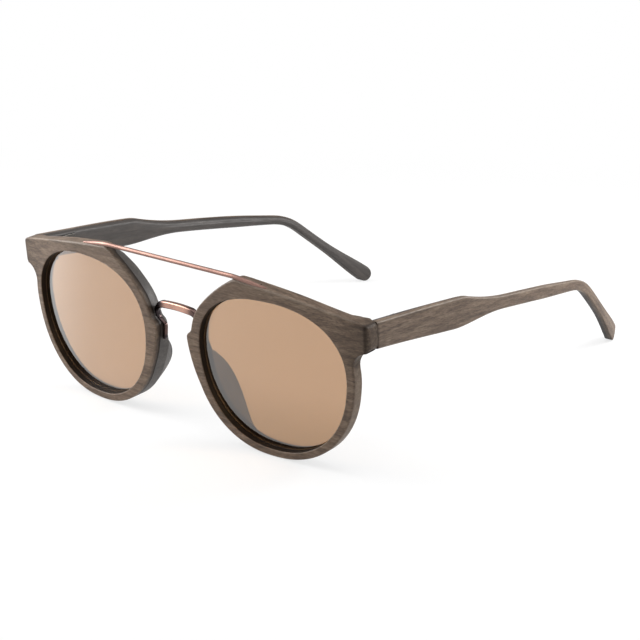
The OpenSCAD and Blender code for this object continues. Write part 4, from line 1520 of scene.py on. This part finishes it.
@dataclass
class Temple:
    """One temple: an outer and an inner wood layer, glued."""

    side: Side
    form: FrontForm
    length: float = 155.0  # Length along its middle line.
    ear: float = 45.5  # Length from the ear bend to the tip.
    bend: float = 17.0  # Length of the ear bend.
    # Slope at the hinge, before the bend and behind the ear, in degrees below level.
    slopes: tuple[float, float, float] = (3.6, 8.6, 37.5)
    root_h: float = 7.7  # Height at the hinge.
    root_less: float = 0.4  # How much lower the top edge starts there.
    wide_h: float = 8.7  # Height at its widest.
    wide_at: float = 34.0  # Distance of the widest place from the hinge.
    top_lag: float = 5.0  # How much later the top edge narrows.
    lining_drop: float = 0.2  # How much lower the inner layer's top edge lies.
    # Start and length of the stretch over which that comes in.
    lining_run: tuple[float, float] = (10.0, 20.0)
    low_at: float = 35.5  # Where the bottom edge starts to narrow.
    waist: float = 0.8  # How much lower the temple is at the ear bend than past the neck.
    # Start of the waist before the bend, its rise, its end before the tip and its fall.
    waist_run: tuple[float, ...] = (20.0, 24.0, 4.0, 20.0)
    neck_h: float = 3.9  # Height past the neck.
    neck_l: float = 30.0  # Length of the neck.
    # Shares of that length over which the top and the bottom edge narrow.
    neck_shares: tuple[float, float] = (0.72, 0.8)
    tip_h: float = 5.6  # Height of the tip.
    tip_thin: float = 0.25  # Share of the thickness that is left at the very tip.
    tip_close: float = 0.985  # Share of its quarter turn after which the tip is closed.
    out_t: float = 1.8  # Thickness of the outer layer.
    in_t: float = 1.8  # Thickness of the inner layer.
    straight: float = 26.0  # Length of the straight stretch seen from above.
    plan_r: float = 700.0  # Radius of the inward curve seen from above.
    ear_r: float = 180.0  # Radius of the tighter curve behind the ear.
    seam: float = 0.15  # Gap to the end piece.
    seam_l: float = 6.0  # Length over which the section turns from the seam's lean.
    edge_r: float = 0.5  # Rounding of the outer layer's long edges.
    lining_r: float = 1.3  # Rounding of the inner layer's long edges.
    crown: float = 0.15  # How much the faces are crowned.
    thinning: float = 0.1  # How much thinner the layers are behind the neck, as a share.
    ear_edge_r: float = 0.35  # Rounding of the flat lower edges behind the ear, which get painted shade.
    # Painted shade on those edges: how dark it would be at the hinge, and how much darker at the tip.
    ear_underside_shade: tuple[float, float] = (0.25, 0.4)
    root_shade: float = 0.5  # How dark the painted shade on the cut end at the hinge is, in the gap at the seam.
    board: float = 40.0  # Shift of the grain through the wood, away from the rims' grain.

    def __post_init__(self) -> None:
        """Works the middle line out: its slope along its length, added up to points."""
        form, station = self.form, 2.0
        self.bend_at = self.length - self.ear - self.bend / 2
        self.tail_at = self.bend_at + self.bend
        self.joint_x = form.end_x - self.out_t
        self.root_y = float(self.seam_y(form.hinge_z)) + self.seam
        self.tip_at = station * math.floor((self.length - self.tip_h / 2) / station)
        self.s = np.linspace(0, self.tip_at, 305)
        a = np.radians(self.slope((self.s[1:] + self.s[:-1]) / 2))
        step = self.s[1]
        self.line_y = self.root_y + np.concatenate([[0], np.cumsum(step * np.cos(a))])
        self.line_z = form.hinge_z - np.concatenate([[0], np.cumsum(step * np.sin(a))])
        self.curve_y = self.root_y + self.straight
        ear_at = station * math.floor((self.bend_at + self.bend / 2) / station)
        self.ear_y = float(np.interp(ear_at, self.s, self.line_y))

    def seam_y(self, z: Array | float) -> Array:
        """The seam's plane at height z: the end piece's flat back, leaning with the front.

        Args:
            z: Heights.

        Returns:
            How far back the plane lies there.
        """
        form, a = self.form, math.radians(self.form.lean)
        off = form.seam_d - form.lean_y
        return form.lean_y + off * math.cos(a) - math.tan(a) * (np.asarray(z) - off * math.sin(a))

    def slope(self, s: Array) -> Array:
        """Slope along the length: slowly steeper to the bend, then eased to the ear's slope.

        Args:
            s: Distance along the middle line.

        Returns:
            The slope in degrees below level.
        """
        root, low, ear = self.slopes
        bent = eased((s - self.bend_at) / self.bend)
        return root + (low - root) * np.minimum(s / self.bend_at, 1) + (ear - low) * bent

    def height(self, s: Array, wide: float, top: bool) -> Array:
        """Height along the length: eased up to its widest, a fall through the neck, thinnest at the bend.

        The top edge falls with a square, from a corner; the bottom edge falls in an eased S.

        Args:
            s: Distance along the middle line.
            wide: Where it is widest.
            top: True for the top edge.

        Returns:
            The height, as if both edges were alike.
        """
        root = self.root_h - self.root_less * top
        grow = root + (self.wide_h - root) * eased(s / wide)
        neck = self.neck_l * self.neck_shares[0 if top else 1]
        left = np.clip(1 - (s - wide) / neck, 0, 1)
        level = 0.55
        fall = left**2 if top else eased(left) * (level + (1 - level) * left)
        narrowed = self.neck_h + (self.wide_h - self.neck_h) * fall
        swell = eased((s - self.tail_at) / (self.length - self.tail_at)) ** 2
        tail = self.neck_h + (self.tip_h - self.neck_h) * swell
        before, rise, short, sink = self.waist_run
        waist = self.waist * stretch(s, self.bend_at - before, rise, self.length - short, sink)[:, 0]
        return rolled(np.where(s < wide, grow, np.where(s < wide + neck, narrowed, tail)), 10) - waist

    def plan_x(self, y: Array, out: Array) -> Array:
        """Where a line at a distance out from the layers' joint lies across, seen from above.

        It is straight, then an arc that curves in, then a tighter arc behind the ear.

        Args:
            y: Distance back.
            out: Distance out from the joint.

        Returns:
            The x of each point.
        """
        turn = math.asin((self.ear_y - self.curve_y) / self.plan_r)
        cx = self.joint_x - self.plan_r
        ex = cx + (self.plan_r - self.ear_r) * math.cos(turn)
        ey = self.curve_y + (self.plan_r - self.ear_r) * math.sin(turn)
        wide, tight = self.plan_r + out, self.ear_r + out
        curved = cx + np.sqrt(wide**2 - np.maximum(y - self.curve_y, 0) ** 2)
        ear = ex + np.sqrt(tight**2 - np.maximum(y - ey, 0) ** 2)
        return np.where(y < self.curve_y + wide * math.sin(turn), curved, ear)

    def layer(self, thick: float, out: float, round_r: float) -> Shell:
        """One layer: a rounded section carried along the middle line to a round tip.

        The section runs from the joint along the bottom, round an edge, up the crowned face and back along
        the top. Past the tip's middle its height follows a half circle, and its thickness shrinks a little.

        Args:
            thick: Thickness of the layer.
            out: 1 for the outer layer and -1 for the inner one.
            round_r: Rounding of its long edges.

        Returns:
            The shell.
        """
        body, turn = self.s[::2], quarter(16)[1:] * self.tip_close
        s = np.concatenate([body, self.tip_at + self.tip_h / 2 * np.sin(turn)])
        shrink = np.concatenate([np.ones_like(body), np.cos(turn)])
        past = np.maximum(s - self.tip_at, 0)
        a = np.radians(self.slope(np.minimum(s, self.tip_at)))
        y0 = np.interp(s, self.s, self.line_y) + past * np.cos(a)
        z0 = np.interp(s, self.s, self.line_z) - past * np.sin(a)
        top, low = (
            (np.interp(s, self.s, self.height(self.s, wide, is_top) / 2) * shrink)[:, None]
            for wide, is_top in ((self.wide_at + self.top_lag, True), (self.low_at, False))
        )
        start, run = self.lining_run
        top = top - (out < 0) * (self.lining_drop * shrink * eased((s - start) / run))[:, None]
        thinned = 1 - self.thinning * eased((s - self.wide_at) / (2 * self.neck_l))
        t = (thick * (self.tip_thin + (1 - self.tip_thin) * shrink**0.6) * thinned)[:, None]
        ear = eased((s - self.bend_at) / self.bend)[:, None]
        high_share, thick_share = 0.45, 0.85
        most = np.minimum(high_share * (top + low), thick_share * t)
        r, foot = (np.minimum(round_r + (far - round_r) * ear, most) for far in (round_r, self.ear_edge_r))
        q, k = quarter(8), np.linspace(-1, 1, 13)[1:-1]
        crown = self.crown * shrink[:, None]
        rising, falling = t - crown - foot + foot * np.sin(q), t - crown - r + r * np.cos(q)
        n = np.concatenate(
            [0 * t, 0.5 * (t - foot), rising, t - crown * k**2, falling, 0.5 * (t - r), 0 * t], 1
        )
        up, down = top - r, low - foot
        face = (up - down) / 2 + (up + down) / 2 * k
        h = np.concatenate([-low, -low, -down - foot * np.cos(q), face, up + r * np.sin(q), top, top], 1)
        angle = a[:, None]
        y, z = y0[:, None] + h * np.sin(angle), z0[:, None] + h * np.cos(angle)
        near = (1 - eased(s / self.seam_l))[:, None]
        y = y + (self.seam_y(z) + self.seam + s[:, None] - y) * near
        points = np.stack([self.plan_x(y, out * n), y, z], -1)
        grain = np.stack([s[:, None] + 0 * h, h, out * n + self.board], -1)
        # The outer layer's long edges are paled for wear and painted highlight.
        wear_and_painted_light = np.concatenate([[0, 0], np.sin(2 * q), 0 * k, np.sin(2 * q), [0, 0]]) * (out > 0)
        # Painted shade under the lower edges behind the ear, darker towards the tip.
        under = np.concatenate([[1, 1], np.cos(q) ** 2, np.zeros(k.size + q.size + 2)])
        stain_and_shade, more = self.ear_underside_shade
        edge = wear_and_painted_light * (1 - ear * (under > 0)) - under * ear * (stain_and_shade + more * s / self.length)[:, None]
        # Painted shade on the cut end at the hinge, in the gap at the seam.
        edge[0] = -self.root_shade
        return grid_shell(points, grain, edge).mirrored(self.side)

    def build(self, finishes: Finishes) -> None:
        """Makes and dresses both layers.

        Args:
            finishes: The object's finishes.
        """
        label = self.side.label
        for name, shell, finish, slot in (
            ("temple", self.layer(self.out_t, 1, self.edge_r), finishes.walnut, "walnut"),
            ("temple_lining", self.layer(self.in_t, -1, self.lining_r), finishes.ebony, "ebony"),
        ):
            show(f"{label}_{name}", shell, f"{label}_arm", finish)


def facing(way: Vector) -> Euler:
    """Turn of a lamp or camera that looks along a direction."""
    return way.to_track_quat("-Z", "Y").to_euler()


@dataclass
class Studio:
    """White table and backdrop, soft lamps and the camera."""

    azimuth: float = 40.56  # The camera's place round the object, in degrees from straight ahead.
    elevation: float = 18.02  # The camera's height, in degrees.
    focal_px: float = 1585.25  # Focal length in pixels of the picture.
    picture_px: int = 640  # Width of the picture.
    distance: float = 478.24  # Distance from the camera to its aim in mm.
    aim: tuple[float, float, float] = (10.37, 50.0, 22.09)  # The point that the camera looks at, in mm.
    ambient: float = 0.24  # Strength of the even light.
    wall_top: float = 0.45  # Height of the view upwards, as a sine, above which gloss sees only that light.
    table: float = 0.71  # Light of the table for what sees it directly, before its own share of the lamps.
    table_grey: float = 0.22  # How much of the lamps' light the table adds to that.
    # Distances from the origin in mm over which the table fades to plain white.
    table_fade: tuple[float, float] = (200.0, 400.0)
    table_half: float = 450.0  # Half the table's size in mm.
    card: float = 2.1  # Light of the bright card at the object's right foot.
    card_size: tuple[float, float] = (150.0, 110.0)  # Length and width of the card in mm.
    card_at: tuple[float, float, float] = (-42.0, 2.0, 0.0)  # Place of its corner in mm.
    card_turn: float = 218.0  # Its turn about Z in degrees.
    card_fade: float = 60.0  # How much of its width fades in, in mm.
    lamp_aim: tuple[float, float, float] = (0.0, 0.05, 0.02)  # The point that the lamps look at, in metres.

    def seen(self, tree: Tree, gloss: bool) -> Socket:
        """Gives 1 for rays from the camera and through glass, for gloss too if asked, and 0 for other light.

        Args:
            tree: Node tree that gets the nodes.
            gloss: True to count reflected rays.

        Returns:
            The socket with the 1 or 0.
        """
        path = add(tree, "LightPath").outputs
        seen = maths(tree, "MAXIMUM", path["Is Camera Ray"], path["Is Transmission Ray"])
        return maths(tree, "MAXIMUM", seen, path["Is Glossy Ray"]) if gloss else seen

    def build_world(self) -> None:
        """Sets a surround that lights evenly, is white where it is seen and dims upwards in gloss."""
        world = bpy.data.worlds.new("white_surround")
        bpy.context.scene.world = world
        world.use_nodes = True
        tree = world.node_tree
        tree.nodes.clear()
        way = add(tree, "TexCoord").outputs["Generated"]
        up = add(tree, "SeparateXYZ", {0: way}).outputs["Z"]
        wall = ranged(tree, up, 0.0, self.wall_top, 1.0, self.ambient)
        gloss = add(tree, "LightPath").outputs["Is Glossy Ray"]
        level = ranged(tree, gloss, 0.0, 1.0, self.ambient, wall)
        even, white = (add(tree, "Background", {"Color": WHITE, "Strength": s}) for s in (level, 1.0))
        mixed = crossed(tree, self.seen(tree, False), even, white)
        add(tree, "OutputWorld", {"Surface": mixed.outputs[0]})

    def build_table(self) -> None:
        """Lays the pale table: white where it is seen, less the soft shadow, and plain white far off."""
        made, tree = fresh("white_table_laminate")
        plain = add(tree, "BsdfDiffuse", {"Color": linear("#e6e6e6")})
        shade = add(tree, "BsdfDiffuse", {"Color": (self.table_grey,) * 3 + (1.0,)})
        glow, white = (add(tree, "Emission", {"Color": WHITE, "Strength": s}) for s in (self.table, 1.0))
        lit = add(tree, "AddShader", {0: shade.outputs[0], 1: glow.outputs[0]})
        place = add(tree, "TexCoord").outputs["Object"]
        away = add(tree, "VectorMath", {0: place}, operation="LENGTH").outputs["Value"]
        near, far = self.table_fade
        fade = ranged(tree, away, near * MM, far * MM, interpolation_type="SMOOTHSTEP")
        surfaced(tree, crossed(tree, self.seen(tree, True), plain, crossed(tree, fade, lit, white)))
        half, z = self.table_half * MM, -0.1 * MM
        corners = [(-half, -half, z), (half, -half, z), (half, half, z), (-half, half, z)]
        meshed("table", corners, [(0, 1, 2, 3)], made)

    def build_card(self) -> None:
        """Lays a bright card by the right rim, which its front and lens mirror; the camera doesn't see it.

        It fades in from its first edge, so that its mirror image has a soft edge.
        """
        made, tree = fresh("bright_card")
        place = add(tree, "TexCoord").outputs["Object"]
        along = add(tree, "SeparateXYZ", {0: place}).outputs["Y"]
        fade = ranged(tree, along, 0.0, -self.card_fade * MM, interpolation_type="SMOOTHSTEP")
        clear = add(tree, "BsdfTransparent")
        glow = add(tree, "Emission", {"Color": WHITE, "Strength": self.card})
        surfaced(tree, crossed(tree, fade, clear, glow))
        long, wide = (size * MM for size in self.card_size)
        z = 0.2 * MM
        corners = [(0, -wide, z), (long, -wide, z), (long, 0, z), (0, 0, z)]
        card = meshed("bright_card", corners, [(0, 1, 2, 3)], made)
        card.location = Vector(self.card_at) * MM
        card.rotation_euler.z = math.radians(self.card_turn)
        card.visible_camera = card.visible_transmission = card.visible_diffuse = card.visible_shadow = False

    def build_lamps(self) -> None:
        """Hangs the lamps: a key far to the left, one overhead, one behind and a small one by the right rim.

        Each has its place and size in metres and its power in watts.
        """
        for name, place, size, power in (
            ("key_left", (-0.7, -0.26, 0.44), 0.9, 9.0),
            ("top", (0.05, 0.1, 0.9), 0.9, 4.5),
            ("right_back", (0.18, 0.27, 0.18), 0.16, 1.0),
            ("low_left", (-0.16, -0.07, 0.11), 0.09, 0.17),
        ):
            lamp = bpy.data.lights.new(name, "AREA")
            lamp.size, lamp.energy = size, power
            holder = linked(name, lamp)
            holder.location = place
            holder.rotation_euler = facing(Vector(self.lamp_aim) - Vector(place))
            holder.visible_camera = False

    def build_camera(self) -> None:
        """Sets the camera up at the photograph's angle."""
        a, e = math.radians(self.azimuth), math.radians(self.elevation)
        back = Vector((math.sin(a) * math.cos(e), -math.cos(a) * math.cos(e), math.sin(e)))
        camera = bpy.data.cameras.new("camera")
        camera.sensor_width = 36.0
        camera.lens = self.focal_px / self.picture_px * camera.sensor_width
        camera.clip_start = 0.01
        holder = linked("camera", camera)
        holder.location = (Vector(self.aim) + back * self.distance) * MM
        holder.rotation_euler = facing(-back)
        bpy.context.scene.camera = holder

    def build(self) -> None:
        """Builds the whole set."""
        self.build_world()
        self.build_table()
        self.build_card()
        self.build_lamps()
        self.build_camera()
        bpy.context.scene.view_settings.view_transform = "Standard"


def main() -> None:
    """Builds the set, then each sub-assembly in turn, and dresses the CAD nodes that stay."""
    logging.basicConfig(level=logging.INFO)
    Studio().build()
    finishes = Finishes()
    form = FrontForm()
    line = form.outline()
    for side in Side:
        Rim(side, form, line).build(finishes)
        Hinge(side, form).build(finishes)
        Temple(side, form).build(finishes)
    MetalBridges(form).build(finishes)
    for name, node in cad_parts.items():
        if not node.hide_render:
            node.data.materials.clear()
            node.data.materials.append(finishes.steel)
            log.info("%s keeps its CAD shape", name)


if __name__ == "__main__":
    main()
